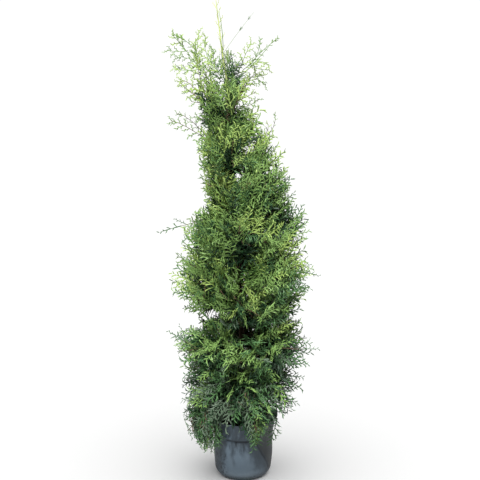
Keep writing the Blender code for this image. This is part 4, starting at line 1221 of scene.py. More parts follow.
def spray_shape(style, rng):
    """Points and faces of one spray of unit length along +X, its branches on alternate sides."""
    points, faces = [], []
    sway = rng.uniform(-STEM_SWAY, STEM_SWAY)

    def axis(place):
        return Vector((place, sway * math.sin(math.pi * place), 0))

    for low, high in STEM_PARTS:
        width = style.width * (STEM_WIDTHS[0] - STEM_WIDTHS[1] * low)
        add_branch(points, faces, axis(low), axis(low + STEM_KNEE * (high - low)), axis(high), width)
    place, side = STALK + style.step, rng.choice((-1, 1))
    while place < LAST_BRANCH:
        share = (place - STALK) / (1 - STALK)
        angle = BRANCH_ANGLES[0] + share * (BRANCH_ANGLES[1] - BRANCH_ANGLES[0])
        angle += rng.uniform(-ANGLE_SWAY, ANGLE_SWAY)
        full = min(1.0, FIRST_BRANCH[0] + share * FIRST_BRANCH[1])
        length = style.reach * (1 - share) ** BRANCH_TAPER * full * rng.uniform(*BRANCH_SWAY)
        if rng.random() < style.short or length < style.tooth:
            length = style.tooth * rng.uniform(*SHORT_SWAY)
        add_toothed_branch(points, faces, style, rng, axis(place), side, angle, length)
        place += style.step * rng.uniform(*STEP_SWAY)
        side = -side
    for point in points:
        point.z -= style.droop * point.x**2 + style.fold * abs(point.y) ** SIDE_CURVE
    return points, faces


def spray_collection():
    """The variants of every kind of spray, to be set on the twigs, and where each kind's begin."""
    collection = bpy.data.collections.new("sprays")
    bpy.context.scene.collection.children.link(collection)
    first = {}
    for kind, style in SPRAY_STYLES.items():
        first[kind] = len(collection.objects)
        for number in range(SPRAY_VARIANTS[kind]):
            points, faces = spray_shape(style, random.Random(SEED + 17 * number))
            spray = object_from(f"spray_{len(collection.objects):02d}_{kind}", points, faces)
            bpy.context.scene.collection.objects.unlink(spray)
            collection.objects.link(spray)
    return collection, first


# ------------------------------------------------------------------ geometry nodes


class Tree:
    """A small geometry node tree, built by name."""

    def __init__(self, name, *inputs):
        self.tree = bpy.data.node_groups.new(name, "GeometryNodeTree")
        self.tree.interface.new_socket("Geometry", in_out="INPUT", socket_type="NodeSocketGeometry")
        for label, kind in inputs:
            self.tree.interface.new_socket(label, in_out="INPUT", socket_type="NodeSocket" + kind)
        self.tree.interface.new_socket("Geometry", in_out="OUTPUT", socket_type="NodeSocketGeometry")
        self.input = self.tree.nodes.new("NodeGroupInput")

    def node(self, kind, settings=None, sockets=None):
        node = self.tree.nodes.new(kind)
        for name, value in (settings or {}).items():
            setattr(node, name, value)
        for name, value in (sockets or {}).items():
            if isinstance(value, bpy.types.NodeSocket):
                self.tree.links.new(value, node.inputs[name])
            else:
                node.inputs[name].default_value = value
        return node

    def end(self, sockets):
        """Every tree sets instances on points, makes them real and gives them their material."""
        placed = self.node("GeometryNodeInstanceOnPoints", sockets=sockets)
        real = self.node("GeometryNodeRealizeInstances", sockets={"Geometry": placed.outputs[0]})
        sockets = {"Geometry": real.outputs[0], "Material": self.input.outputs["Material"]}
        dressed = self.node("GeometryNodeSetMaterial", sockets=sockets)
        self.node("NodeGroupOutput", sockets={"Geometry": dressed.outputs[0]})
        return self.tree


def spray_tree():
    """Sets a spray on every point, turned, sized and picked by the point's own values."""
    tree = Tree("sprays_on_twigs", ("Sprays", "Collection"), ("Material", "Material"), ("Size", "Float"))
    named = "GeometryNodeInputNamedAttribute"
    turn = tree.node(named, {"data_type": "FLOAT_VECTOR"}, {"Name": "turn"})
    size = tree.node(named, {"data_type": "FLOAT"}, {"Name": "size"})
    pick = tree.node(named, {"data_type": "INT"}, {"Name": "pick"})
    rotation = tree.node("FunctionNodeEulerToRotation", sockets={"Euler": turn.outputs[0]})
    source = tree.input.outputs
    scale = tree.node("ShaderNodeMath", {"operation": "MULTIPLY"}, {0: size.outputs[0], 1: source["Size"]})
    sockets = {"Collection": source["Sprays"], "Separate Children": True, "Reset Children": True}
    sprays = tree.node("GeometryNodeCollectionInfo", sockets=sockets)
    sockets = {
        "Points": source["Geometry"],
        "Instance": sprays.outputs[0],
        "Pick Instance": True,
        "Instance Index": pick.outputs[0],
        "Rotation": rotation.outputs[0],
        "Scale": scale.outputs[0],
    }
    return tree.end(sockets)


CRUMB_TURN = 6.28  # radians that a crumb may be turned round each axis
CRUMB_SIZES = (0.35, 1.3)


def crumb_tree():
    """Scatters crumbs over a surface."""
    amounts = (("Density", "Float"), ("Size", "Float"), ("Seed", "Int"))
    tree = Tree("crumbs_on_soil", ("Crumb", "Object"), *amounts, ("Material", "Material"))
    source = tree.input.outputs
    sockets = {"Mesh": source["Geometry"], "Density": source["Density"], "Seed": source["Seed"]}
    spread = tree.node("GeometryNodeDistributePointsOnFaces", sockets=sockets)
    crumb = tree.node("GeometryNodeObjectInfo", sockets={"Object": source["Crumb"]})
    random_value = "FunctionNodeRandomValue"
    turns = {0: (0.0,) * 3, 1: (CRUMB_TURN,) * 3, "Seed": 3}
    turn = tree.node(random_value, {"data_type": "FLOAT_VECTOR"}, turns)
    smallest, largest = CRUMB_SIZES
    size = tree.node(random_value, {"data_type": "FLOAT"}, {2: smallest, 3: largest, "Seed": 5})
    scale = tree.node("ShaderNodeMath", {"operation": "MULTIPLY"}, {0: size.outputs[1], 1: source["Size"]})
    sockets = {
        "Points": spread.outputs[0],
        "Instance": crumb.outputs["Geometry"],
        "Rotation": turn.outputs[0],
        "Scale": scale.outputs[0],
    }
    return tree.end(sockets)


def grown_mesh(name, base, tree, **inputs):
    """A plain mesh object: the base with the tree's modifier evaluated and removed."""
    obj = new_object(name, base)
    modifier = obj.modifiers.new("grow", "NODES")
    modifier.node_group = tree
    for label, value in inputs.items():
        for item in tree.interface.items_tree:
            if item.in_out == "INPUT" and item.name == label:
                modifier[item.identifier] = value
    graph = bpy.context.evaluated_depsgraph_get()
    mesh = bpy.data.meshes.new_from_object(obj.evaluated_get(graph))
    obj.modifiers.clear()
    obj.data = mesh
    mesh.name = name
    for helper in ("turn", "size", "pick"):
        if helper in mesh.attributes:
            mesh.attributes.remove(mesh.attributes[helper])
    return obj


def spray_points(sprays, first):
    """A mesh of loose points that carry the turn, size and variant of each spray."""
    mesh = bpy.data.meshes.new("spray_points")
    mesh.from_pydata([spray.root for spray in sprays], [], [])
    turns, sizes, picks = [], [], []
    for number, spray in enumerate(sprays):
        side = spray.normal.cross(spray.aim)
        turn = Matrix((spray.aim, side, spray.normal)).transposed().to_euler()
        turns += list(turn)
        sizes.append(spray.length)
        picks.append(first[spray.kind] + number % SPRAY_VARIANTS[spray.kind])
    mesh.attributes.new("turn", "FLOAT_VECTOR", "POINT").data.foreach_set("vector", turns)
    mesh.attributes.new("size", "FLOAT", "POINT").data.foreach_set("value", sizes)
    mesh.attributes.new("pick", "INT", "POINT").data.foreach_set("value", picks)
    return mesh


# ------------------------------------------------------------------ shaders


class Value:
    """A shader socket that takes part in sums."""

    def __init__(self, shader, socket):
        self.shader = shader
        self.socket = socket

    def maths(self, operation, *values):
        return self.shader.node("ShaderNodeMath", {"operation": operation}, dict(enumerate(values)))

    def __add__(self, other):
        return self.maths("ADD", self, other)

    def __sub__(self, other):
        return self.maths("SUBTRACT", self, other)

    def __rsub__(self, other):
        return self.maths("SUBTRACT", other, self)

    def __mul__(self, other):
        return self.maths("MULTIPLY", self, other)

    __radd__ = __add__
    __rmul__ = __mul__

    def bounded(self):
        return self.shader.node("ShaderNodeClamp", {}, {"Value": self})


class Shader:
    """A material with one Principled surface, written as expressions."""

    def __init__(self, name, roughness, specular):
        self.material = bpy.data.materials.new(name)
        self.material.use_nodes = True
        self.tree = self.material.node_tree
        self.surface = self.tree.nodes["Principled BSDF"]
        self.surface.inputs["Roughness"].default_value = roughness
        self.surface.inputs["Specular IOR Level"].default_value = specular

    def node(self, kind, settings, sockets, output=0):
        node = self.tree.nodes.new(kind)
        for name, setting in settings.items():
            if name == "stops":
                self.set_stops(node.color_ramp, setting)
            else:
                setattr(node, name, setting)
        for name, value in sockets.items():
            self.feed(node.inputs[name], value)
        return Value(self, node.outputs[output])

    def set_stops(self, ramp, stops):
        while len(ramp.elements) < len(stops):
            ramp.elements.new(1.0)
        for element, (place, colour) in zip(ramp.elements, stops):
            element.position = place
            element.color = (*colour, 1.0)

    def feed(self, socket, value):
        if isinstance(value, Value):
            self.tree.links.new(value.socket, socket)
        elif socket.type == "RGBA":
            socket.default_value = (*value, 1.0)
        else:
            socket.default_value = value

    def set(self, name, value):
        self.feed(self.surface.inputs[name], value)

    def point(self):
        """The point in the plant's own space."""
        return self.node("ShaderNodeTexCoord", {}, {}, output=3)

    def height(self):
        return self.node("ShaderNodeSeparateXYZ", {}, {"Vector": self.point()}, output=2)

    def reading(self, name):
        """A value that the piece carries on its points."""
        return self.node("ShaderNodeAttribute", {"attribute_name": name}, {}, output=2)

    def noise(self, upright, size, detail):
        """Noise that is stretched upwards where its first value is under 1."""
        place = self.node("ShaderNodeMapping", {}, {"Vector": self.point(), "Scale": (1.0, 1.0, upright)})
        return self.node("ShaderNodeTexNoise", {}, {"Vector": place, "Scale": size, "Detail": detail})

    def ramp(self, value, *stops):
        return self.node("ShaderNodeValToRGB", {"stops": stops}, {"Fac": value})

    def mix(self, factor, first, second):
        return self.node("ShaderNodeMix", {"data_type": "RGBA"}, {0: factor, 6: first, 7: second}, output=2)

    def bump(self, height, strength, distance):
        sockets = {"Height": height, "Strength": strength, "Distance": distance}
        self.set("Normal", self.node("ShaderNodeBump", {}, sockets))


# grain of the bark on each limb
BARK_GRAIN = {"bark": 230.0, "bough_bark": 300.0, "brown_twigs": 340.0}
YOUNG_BARK_FROM = 1.50  # the trunk is green above it
# height below which the pot's foot is painted lighter, as painted light
PAINTED_LIGHT_FOOT = 0.055


def bark_material(name, colours, fresh_from=None):
    """Thin fibrous bark in upright strips, green where the shoot is young."""
    shader = Shader(name, roughness=0.8, specular=0.25)
    grain = BARK_GRAIN[name]
    fibres = shader.noise(0.09, grain, 4.0)
    patches = shader.noise(0.4, grain * 0.16, 2.0)
    colour = shader.ramp(fibres, (0.30, colours.bark_dark), (0.55, colours.bark), (0.74, colours.bark_pale))
    colour = shader.mix((patches - 0.45) * 1.6, colour, colours.bark_dark)
    if fresh_from is not None:
        young = ((shader.height() - fresh_from) * 9.0 + (fibres - 0.5) * 0.6).bounded()
        colour = shader.mix(young, colour, colours.pale_tip)
    shader.set("Base Color", colour)
    shader.bump(fibres, 0.5, 0.0015)
    return shader.material


def leaf_material(name, colour):
    """Satin scale foliage in one plain colour; its variety is dealt out by spray."""
    shader = Shader("leaf_" + name, roughness=0.55, specular=0.35)
    shader.set("Base Color", colour)
    return shader.material


def pot_material(colours):
    """Thin dusty plastic: bluish in front, browner and in painted shade on the side, lighter at the foot as
    painted light, with painted shade in the crease and the fold, dark streaks below it and a painted
    foliage shadow at the left foot.
    """
    shader = Shader("pot_plastic", roughness=0.5, specular=0.4)
    dust = shader.noise(1.0, 26.0, 5.0)
    scuffs = shader.noise(0.25, 60.0, 3.0)
    streaks = shader.noise(0.10, 34.0, 2.0)
    # painted shade: the right side takes a darker colour, besides its browner tone
    colour = shader.mix(shader.reading("side") * (0.6 + dust * 0.6), colours.pot, colours.pot_side_in_painted_shade)
    colour = shader.mix(((dust - 0.50) * 2.2).bounded() * 0.35, colour, colours.pot_dust_and_painted_light)
    # painted light: the foot is mixed towards the lighter dust colour
    colour = shader.mix(((PAINTED_LIGHT_FOOT - shader.height()) * 16.0).bounded() * 0.7, colour, colours.pot_dust_and_painted_light)
    # painted shade in the crease and the fold, dark streaks below it and a painted foliage shadow at the
    # left foot
    damp = (shader.reading("damp") * (0.8 + streaks * 0.6)).bounded()
    colour = shader.mix(damp, colour, colours.pot_streaks_and_painted_shade)
    shader.set("Base Color", colour)
    shader.set("Roughness", 0.42 + scuffs * 0.25)
    shader.bump(dust + scuffs * 0.4, 0.25, 0.0012)
    return shader.material


def soil_material(colours):
    shader = Shader("compost", roughness=0.95, specular=0.15)
    grains = shader.noise(1.0, 190.0, 4.0)
    damp = shader.noise(1.0, 14.0, 2.0)
    colour = shader.ramp(grains, (0.35, colours.soil_dark), (0.60, colours.soil), (0.80, colours.soil_pale))
    shader.set("Base Color", shader.mix((damp - 0.4) * 0.9, colour, colours.soil_dark))
    shader.bump(grains, 0.8, 0.002)
    return shader.material


# ------------------------------------------------------------------ settings


def colour_property(name, description, default):
    return FloatVectorProperty(
        name=name, description=description, default=default, size=3, min=0.0, max=1.0, subtype="COLOR"
    )


def length_property(name, description, default, low=0.0):
    return FloatProperty(
        name=name, description=description, default=default, min=low, precision=4, unit="LENGTH"
    )


def amount_property(name, description, default, low=0.0):
    return FloatProperty(name=name, description=description, default=default, min=low)


class ThujaCrown(PropertyGroup):
    """Sizes of the crown's fine growth."""

    spray_length: length_property("Spray length", "Length of a spray in the dense crown", 0.118, 0.02)
    frond_length: length_property("Frond length", "Length of a frond in the open top", 0.165, 0.02)
    sprays_per_area: amount_property(
        "Sprays per area", "Outer sprays for each square metre of the crown's surface", 900.0, 10.0
    )


class ThujaPot(PropertyGroup):
    """Sizes of the pot and its soil."""

    crease_depth: length_property("Crease depth", "How deep the folded crease is pressed", 0.0022)
    rim_bead: length_property("Rim bead", "How far the rolled rim stands out", 0.0016)
    crumb_size: length_property("Crumb size", "Size of a crumb of compost", 0.0042)
    crumb_density: amount_property("Crumb density", "Crumbs for each square metre of soil", 15000.0)


class ThujaColours(PropertyGroup):
    """Colours of the plant and its pot."""

    pale_tip: colour_property("Pale tip", "Yellow-green young growth", (0.480, 0.550, 0.200))
    fresh_green: colour_property("Fresh green", "Bright new sprays", (0.308, 0.433, 0.112))
    leaf_green: colour_property("Leaf green", "Most of the crown", (0.165, 0.281, 0.075))
    deep_green: colour_property("Deep green", "Older sprays", (0.054, 0.128, 0.042))
    dull_green: colour_property("Dull green", "Greyish sprays low down", (0.084, 0.123, 0.079))
    # painted shade: this near-black green stands for the shade on sprays deep inside
    shade_green: colour_property("Shade green", "Sprays deep inside", (0.008, 0.032, 0.011))
    dry_brown: colour_property("Dry brown", "Dead bits", (0.230, 0.135, 0.066))
    bark: colour_property("Bark", "Main colour of the bark", (0.110, 0.070, 0.042))
    bark_dark: colour_property("Bark shade", "Cracks between strips", (0.045, 0.030, 0.020))
    bark_pale: colour_property("Bark light", "Edges of strips", (0.240, 0.170, 0.110))
    pot: colour_property("Pot", "Front of the pot", (0.057, 0.080, 0.102))
    # painted shade: darker than the front, besides its browner tone
    pot_side_in_painted_shade: colour_property("Pot side", "Right side of the pot", (0.043, 0.049, 0.051))
    # also painted light: the pot's foot is mixed towards this colour
    pot_dust_and_painted_light: colour_property("Pot dust", "Dry dust on the pot", (0.100, 0.122, 0.138))
    # painted shade in the crease, the fold and the mottled patch at the left foot, and the dark streaks,
    # take this colour
    pot_streaks_and_painted_shade: colour_property("Pot stain", "Damp streaks", (0.012, 0.018, 0.026))
    soil: colour_property("Soil", "Main colour of the compost", (0.040, 0.026, 0.018))
    soil_dark: colour_property("Soil shade", "Damp compost", (0.014, 0.009, 0.006))
    soil_pale: colour_property("Soil light", "Dry fibres", (0.130, 0.085, 0.055))


class ThujaStage(PropertyGroup):
    """The floor, the light and the camera."""

    sky: amount_property("Sky", "Strength of the light from all round", 0.13)
    key: amount_property("Key light", "Strength of the sun on the plant", 7.2)
    floor_light: amount_property("Floor light", "Strength of the soft light on the floor", 3.3)
    lens: FloatProperty(name="Lens", description="Focal length", default=62.42, min=1.0, unit="CAMERA")
    camera_height: length_property("Camera height", "How high the camera stands", 1.45)
    camera_distance: length_property("Camera distance", "How far in front of the pot it stands", 3.2, 0.5)
    camera_tilt: FloatProperty(
        name="Camera tilt",
        description="How far it looks down",
        default=math.radians(8.8967),
        unit="ROTATION",
    )


# ------------------------------------------------------------------ trunk, boughs and twigs


TRUNK_RINGS = 260
TRUNK_SIDES = 28
RING_CROWDING = 1.15  # rings stand closer at the foot
BOUGH_STEPS = 20
BOUGH_SIDES = 12
TWIG_SIDES = 3
UNDER_BARK = 0.97  # of a limb's radius, as the relief adds to it
LOBE_TWIST = 11.0
# relief of the bark: grain round the limb, grain along it, depth as a share of the radius
STRIPS = (2.6, 9.0, 0.085)
FIBRES = (3.1, 31.0, 0.05)  # its first value is against the strips'


def bark_relief(angle, centre):
    """Upright fibrous strips and a slightly lobed section, as a factor on the radius."""
    round_place = level_way(angle) * STRIPS[0]
    strips = noise.noise(round_place + Vector((0, 0, centre.z * STRIPS[1])))
    fibres = noise.noise(round_place * FIBRES[0] + Vector((5.0, 0, centre.z * FIBRES[1])))
    lobes = TRUNK_LOBE * math.cos(3 * angle + LOBE_TWIST * centre.z)
    return 1 + lobes + STRIPS[2] * strips + FIBRES[2] * fibres


class THUJA_OT_trunk(Operator):
    """Makes the trunk with its fibrous bark, from the soil to the leader's tip"""

    bl_idname = "thuja.trunk"
    bl_label = "Trunk"

    def execute(self, context):
        shares = [(ring / TRUNK_RINGS) ** RING_CROWDING for ring in range(TRUNK_RINGS + 1)]
        heights = [TRUNK_FOOT + (TRUNK_TOP - TRUNK_FOOT) * share for share in shares]
        points, faces = [], []
        line = [trunk_axis(height) for height in heights]
        radii = [UNDER_BARK * trunk_radius(height) for height in heights]
        add_tube(points, faces, line, radii, TRUNK_SIDES, bark_relief)
        trunk = object_from("trunk_bark", points, faces, smooth=True)
        material = bark_material("bark", context.scene.thuja_colours, YOUNG_BARK_FROM)
        finish_piece(trunk, material, "trunk_bark", "trunk")
        return {"FINISHED"}


class THUJA_OT_boughs(Operator):
    """Makes the boughs that carry the lower masses"""

    bl_idname = "thuja.boughs"
    bl_label = "Boughs"

    def execute(self, context):
        points, faces = [], []
        for mass in plan_masses():
            if mass.on_bough:
                radii = tapered(BOUGH_BASE_RADIUS, BOUGH_TIP_RADIUS, BOUGH_STEPS)
                radii = [limb_size(mass) * radius * UNDER_BARK for radius in radii]
                add_tube(points, faces, bough_line(mass, BOUGH_STEPS), radii, BOUGH_SIDES, bark_relief)
        boughs = object_from("bough_bark", points, faces, smooth=True)
        material = bark_material("bough_bark", context.scene.thuja_colours)
        finish_piece(boughs, material, "bough_bark", *BOUGH_NODES)
        return {"FINISHED"}


class THUJA_OT_twigs(Operator):
    """Makes the stems and twigs inside the masses, young and green in the open top"""

    bl_idname = "thuja.twigs"
    bl_label = "Twigs"

    def execute(self, context):
        colours = context.scene.thuja_colours
        for name, young in (("brown_twigs", False), ("green_twigs", True)):
            points, faces = [], []
            for twig in grow_crown()[1]:
                if (twig.zone == "top") == young:
                    add_tube(points, faces, twig.points, twig.radii, TWIG_SIDES)
            piece = object_from(name, points, faces, smooth=True)
            material = leaf_material(name, colours.leaf_green) if young else bark_material(name, colours)
            finish_piece(piece, material, "foliage_top" if young else "bough_bark")
        return {"FINISHED"}


# ------------------------------------------------------------------ foliage


class THUJA_OT_foliage(Operator):
    """Sets the sprays on their twigs, one piece for each zone of the crown and colour"""

    bl_idname = "thuja.foliage"
    bl_label = "Foliage"

    def execute(self, context):
        colours = context.scene.thuja_colours
        collection, first = spray_collection()
        tree = spray_tree()
        groups = defaultdict(list)
        for spray in grow_crown()[0]:
            groups[spray.zone, spray.colour].append(spray)
        materials = {}
        for (zone, colour), sprays in sorted(groups.items()):
            if colour not in materials:
                materials[colour] = leaf_material(colour, getattr(colours, colour))
            piece = grown_mesh(
                f"sprays_{zone}_{colour}",
                spray_points(sprays, first),
                tree,
                Sprays=collection,
                Material=materials[colour],
                Size=1.0,
            )
            if len(piece.data.polygons) > MOST_FACES:
                raise RuntimeError(f"{piece.name} has {len(piece.data.polygons)} faces")
            tiers = dict(ZONES)[zone]
            nodes = [node for node in FOLIAGE_NODES if int(node.split("_")[1]) in tiers]
            finish_piece(piece, materials[colour], "foliage_" + zone, *nodes)
        for spray in list(collection.objects):
            bpy.data.objects.remove(spray, do_unlink=True)
        bpy.data.collections.remove(collection)
        return {"FINISHED"}


# ------------------------------------------------------------------ pot and soil

POT_FOOT_RADIUS = 0.078
POT_CORNER = 0.035
POT_WALL = 0.0022
POT_SIDE = ((0.118, 0.090), (0.1165, 0.150), (0.122, 0.200), (0.131, 0.232), (0.135, 0.242))
# angles round the wall in degrees, -90 in front, and heights
CREASE = ((-122, 0.170), (-66, 0.170))
FOLD = ((-66, 0.170), (-51, 0.112), (-28, 0.040))
FOLD_LINE = ((0.0, -16), (0.040, -28), (0.112, -51), (0.170, -66), (0.250, -72))
SIDE_END = 50  # where the brownish side in painted shade gives way to the back
STREAKS = ((-118, 0.034), (-104, 0.020), (-90, 0.046), (-78, 0.044), (-71, 0.026))  # angle and length
STREAK_SLANT = 1.5
FOLIAGE_SHADOW = ((-172, -118), (0.010, 0.130))  # angles and heights of the painted foliage shadow, a mottled patch at the left foot
FOLIAGE_SHADOW_EDGES = (14, 14, 0.020, 0.030)  # how softly it ends at the left, right, foot and top
FOLIAGE_SHADOW_GRAINS = ((0.22, 95.0, 3.0, 1.0), (0.5, 210.0, 8.0, 0.5))  # grain round, grain up, seed, strength
FOLIAGE_SHADOW_DARKNESS = (3.0, 0.8)  # contrast, and most
SIDE_SOFTNESS = (5, 30)  # degrees over which the brownish side in painted shade begins and ends
CORNER_STEPS = 9
WALL_STEPS = 76
POT_SEGMENTS = 240
WALL_WAVES = ((0.0016, 3, 0.5), (0.0010, 5, 2.0))  # depth, number round the pot, phase
RIM_FLARE = 0.0030
CREASE_WIDTH = 0.0034
FOLD_WIDTH = 0.0050
FOLD_SHARE = 0.6  # of the crease's depth
LIP = (0.0014, 0.010, 0.006)  # how far the wall stands out above the crease, how far above, width
DENTS = (2.2, 16.0, 0.0011)  # grain round, grain up, depth
STIFF_FOOT = (0.02, 0.05)  # height up to which the wall has no folds, and how softly they begin
# how wide and how dark the lines are: painted shade in the crease and in the fold, and the dark streaks
CREASE_PAINTED_SHADE = (0.0048, 1.0)
FOLD_PAINTED_SHADE = (0.0042, 0.8)
STREAK_DARKNESS = (0.0020, 0.6)
BEAD_RADIUS = 0.1335
BEAD_HALF = 0.0018
BEAD_STEPS = 9
BEAD_ANGLES = (-70, 32)  # degrees at the bead's start, and each step
BEAD_ROOM = 0.004  # the wall ends this far below the rim


def pot_outline(steps):
    """Outer profile from the edge of the flat underside up to the rim, as (radius, height)."""
    points = []
    for step in range(steps):
        angle = math.radians(90) * step / (steps - 1)
        radius = POT_FOOT_RADIUS + POT_CORNER * math.sin(angle)
        points.append((radius, POT_CORNER * (1 - math.cos(angle))))
    return points + list(POT_SIDE)


def pot_bulge(height, angle):
    """The soft wall's shallow folds: none at the foot, most at mid height, a flare at the right rim."""
    share = clamped((height - POT_CORNER) / (POT_RIM - POT_CORNER))
    belly = math.sin(math.pi * share)
    folds = sum(depth * math.cos(number * angle + phase) for depth, number, phase in WALL_WAVES)
    return belly * folds + RIM_FLARE * share**3 * math.cos(angle)


def wrapped(angle):
    """The angle between -180 and 180 degrees."""
    return (math.degrees(angle) + 180) % 360 - 180


def from_line(angle, height, line):
    """Distance on the unrolled wall from a line through places on it, in metres."""
    arc = math.radians(1) * POT_SIDE[0][0]
    place = Vector((wrapped(angle) * arc, height))
    nearest = 1.0
    for start, end in zip(line, line[1:]):
        a, b = Vector((start[0] * arc, start[1])), Vector((end[0] * arc, end[1]))
        share = clamped((place - a).dot(b - a) / (b - a).length_squared)
        nearest = min(nearest, (place - a - (b - a) * share).length)
    return nearest


def hill(distance, width):
    return math.exp(-((distance / width) ** 2))


def pot_folds(height, angle, depth):
    """The bulge with the crease across the front, the slanting fold and small dents."""
    crease, fold = from_line(angle, height, CREASE), from_line(angle, height, FOLD)
    inwards = depth * hill(crease, CREASE_WIDTH) + FOLD_SHARE * depth * hill(fold, FOLD_WIDTH)
    lip, lip_place, lip_width = LIP
    above = lip * hill(crease - lip_place, lip_width) if height > CREASE[0][1] else 0.0
    grain_round, grain_up, dent = DENTS
    wall = Vector((math.cos(angle) * grain_round, math.sin(angle) * grain_round, height * grain_up))
    share = clamped((height - STIFF_FOOT[0]) / STIFF_FOOT[1])
    return pot_bulge(height, angle) + share * (above - inwards + dent * noise.noise(wall))


def painted_shade_and_streaks(height, angle):
    """How dark the wall is: painted shade in the crease and the fold, dark streaks below, and a painted
    foliage shadow in a mottled patch.
    """
    top = CREASE[0][1]
    streaks = [((place, top), (place + STREAK_SLANT, top - length)) for place, length in STREAKS]
    lines = [(CREASE, CREASE_PAINTED_SHADE), (FOLD, FOLD_PAINTED_SHADE)] + [(streak, STREAK_DARKNESS) for streak in streaks]
    damp = max(dark * hill(from_line(angle, height, line), width) for line, (width, dark) in lines)
    turn = wrapped(angle)
    (left, right), (low, high) = FOLIAGE_SHADOW
    from_edges = (turn - left, right - turn, height - low, high - height)
    inside = min([1.0, *(distance / soft for distance, soft in zip(from_edges, FOLIAGE_SHADOW_EDGES))])
    # painted shadow of the hanging sprays, mottled
    if inside > 0:
        squiggles = 0.0
        for grain_round, grain_up, seed, strength in FOLIAGE_SHADOW_GRAINS:
            squiggles += strength * noise.noise(Vector((turn * grain_round, height * grain_up, seed)))
        contrast, most = FOLIAGE_SHADOW_DARKNESS
        damp = max(damp, clamped(squiggles * contrast, 0.0, most) * inside)
    return damp


def shaded_brown_side(height, angle):
    """1 on the wall right of the fold, browner and darker there as painted shade, 0 on the front."""
    turn = wrapped(angle)
    edge = smooth_line(FOLD_LINE, height)[0]
    start, end = SIDE_SOFTNESS
    return clamped((turn - edge) / start) * clamped((SIDE_END + end - turn) / end)


def mark_wall(pot, name, reading):
    """Writes a reading of height and angle on every point of the pot."""
    values = []
    for vertex in pot.data.vertices:
        values.append(reading(vertex.co.z, math.atan2(vertex.co.y, vertex.co.x)))
    pot.data.attributes.new(name, "FLOAT", "POINT").data.foreach_set("value", values)


class THUJA_OT_pot(Operator):
    """Makes the soft nursery pot with its creases and rolled rim"""

    bl_idname = "thuja.pot"
    bl_label = "Pot"

    def execute(self, context):
        settings = context.scene.thuja_pot
        depth = settings.crease_depth
        heights = [height for radius, height in pot_outline(CORNER_STEPS)][:CORNER_STEPS]
        wall_end = POT_RIM - BEAD_ROOM
        heights += [POT_CORNER + (wall_end - POT_CORNER) * k / WALL_STEPS for k in range(1, WALL_STEPS + 1)]
        outer = [(pot_radius(height, CORNER_STEPS), height) for height in heights]
        bead = []
        for step in range(BEAD_STEPS):
            angle = math.radians(BEAD_ANGLES[0] + BEAD_ANGLES[1] * step)
            radius = BEAD_RADIUS + settings.rim_bead * (0.6 + math.cos(angle))
            bead.append((radius, POT_RIM - BEAD_HALF + BEAD_HALF * math.sin(angle)))
        inner = [(radius - POT_WALL, height) for radius, height in outer[::-4] if height > POT_CORNER]
        profile = [(0, 0)] + outer + bead + inner + [(POT_FOOT_RADIUS, POT_WALL), (0, POT_WALL)]
        pot = revolved("pot_shell", profile, POT_SEGMENTS, lambda z, a: pot_folds(z, a, depth))
        # the damp reading holds painted shade in the crease and the fold, dark streaks and a painted
        # foliage shadow
        mark_wall(pot, "damp", painted_shade_and_streaks)
        # the side reading marks the browner right side, darker there as painted shade
        mark_wall(pot, "side", shaded_brown_side)
        finish_piece(pot, pot_material(context.scene.thuja_colours), "pot", "pot")
        return {"FINISHED"}


SOIL_FLOOR = 0.004
SOIL_GAP = 0.0008  # between the soil and the wall
SOIL_WALL_STEPS = 13
SOIL_TOP_STEPS = 30
SOIL_SHOULDER = 0.012  # how much less high its wall is than its top
SOIL_CROWN = 0.006  # how much lower the soil lies at its edge
SOIL_ROUND = 0.007  # this far under its top, it no longer follows the wall's folds
LUMPY_DEPTH = 0.0065  # this far under its top, its lumps begin
SOIL_SEGMENTS = 96
LUMPS = ((0.0026, 70.0), (0.0012, 210.0))  # height and grain
LUMPY = (0.024, 0.004)  # clear of the trunk and of the edge
CRUMBED = (0.020, 0.005)  # inner radius of the ring with crumbs, and how far it keeps off the edge
CRUMBED_DEPTHS = (0.0005, 0.0055)  # under the soil's top, near the trunk and at the edge
CRUMB_SEGMENTS = 48
CRUMB_LUMPS = (0.45, 5.0)


def soil_bed():
    """The filled bed with its lumpy top, and the radius of its edge."""
    wall = []
    for step in range(SOIL_WALL_STEPS + 1):
        height = SOIL_FLOOR + (SOIL_TOP - SOIL_SHOULDER) * step / SOIL_WALL_STEPS
        wall.append((pot_radius(height, CORNER_STEPS) - POT_WALL - SOIL_GAP, height))
    edge = wall[-1][0]
    shares = [1 - step / SOIL_TOP_STEPS for step in range(1, SOIL_TOP_STEPS)]
    top = [(edge * share, SOIL_TOP - SOIL_CROWN * share**2) for share in shares]
    profile = [(0, SOIL_FLOOR)] + wall + top + [(0, SOIL_TOP)]

    def relief(height, angle):
        return pot_bulge(height, angle) if height < SOIL_TOP - SOIL_ROUND else 0.0

    bed = revolved("soil_bed", profile, SOIL_SEGMENTS, relief)
    for vertex in bed.data.vertices:
        away = math.hypot(vertex.co.x, vertex.co.y)
        if vertex.co.z > SOIL_TOP - LUMPY_DEPTH and LUMPY[0] < away < edge - LUMPY[1]:
            vertex.co.z += sum(depth * noise.noise(vertex.co * grain) for depth, grain in LUMPS)
    return bed, edge


def crumbed_surface(edge):
    """The ring of soil on which the crumbs lie."""
    surface = bpy.data.meshes.new("soil_surface")
    count = CRUMB_SEGMENTS
    ring = [level_way(2 * math.pi * k / count) for k in range(count)]
    inner = [direction * CRUMBED[0] + UP * (SOIL_TOP - CRUMBED_DEPTHS[0]) for direction in ring]
    outer = [direction * (edge - CRUMBED[1]) + UP * (SOIL_TOP - CRUMBED_DEPTHS[1]) for direction in ring]
    quads = [(k, (k + 1) % count, count + (k + 1) % count, count + k) for k in range(count)]
    surface.from_pydata(inner + outer, [], quads)
    return surface


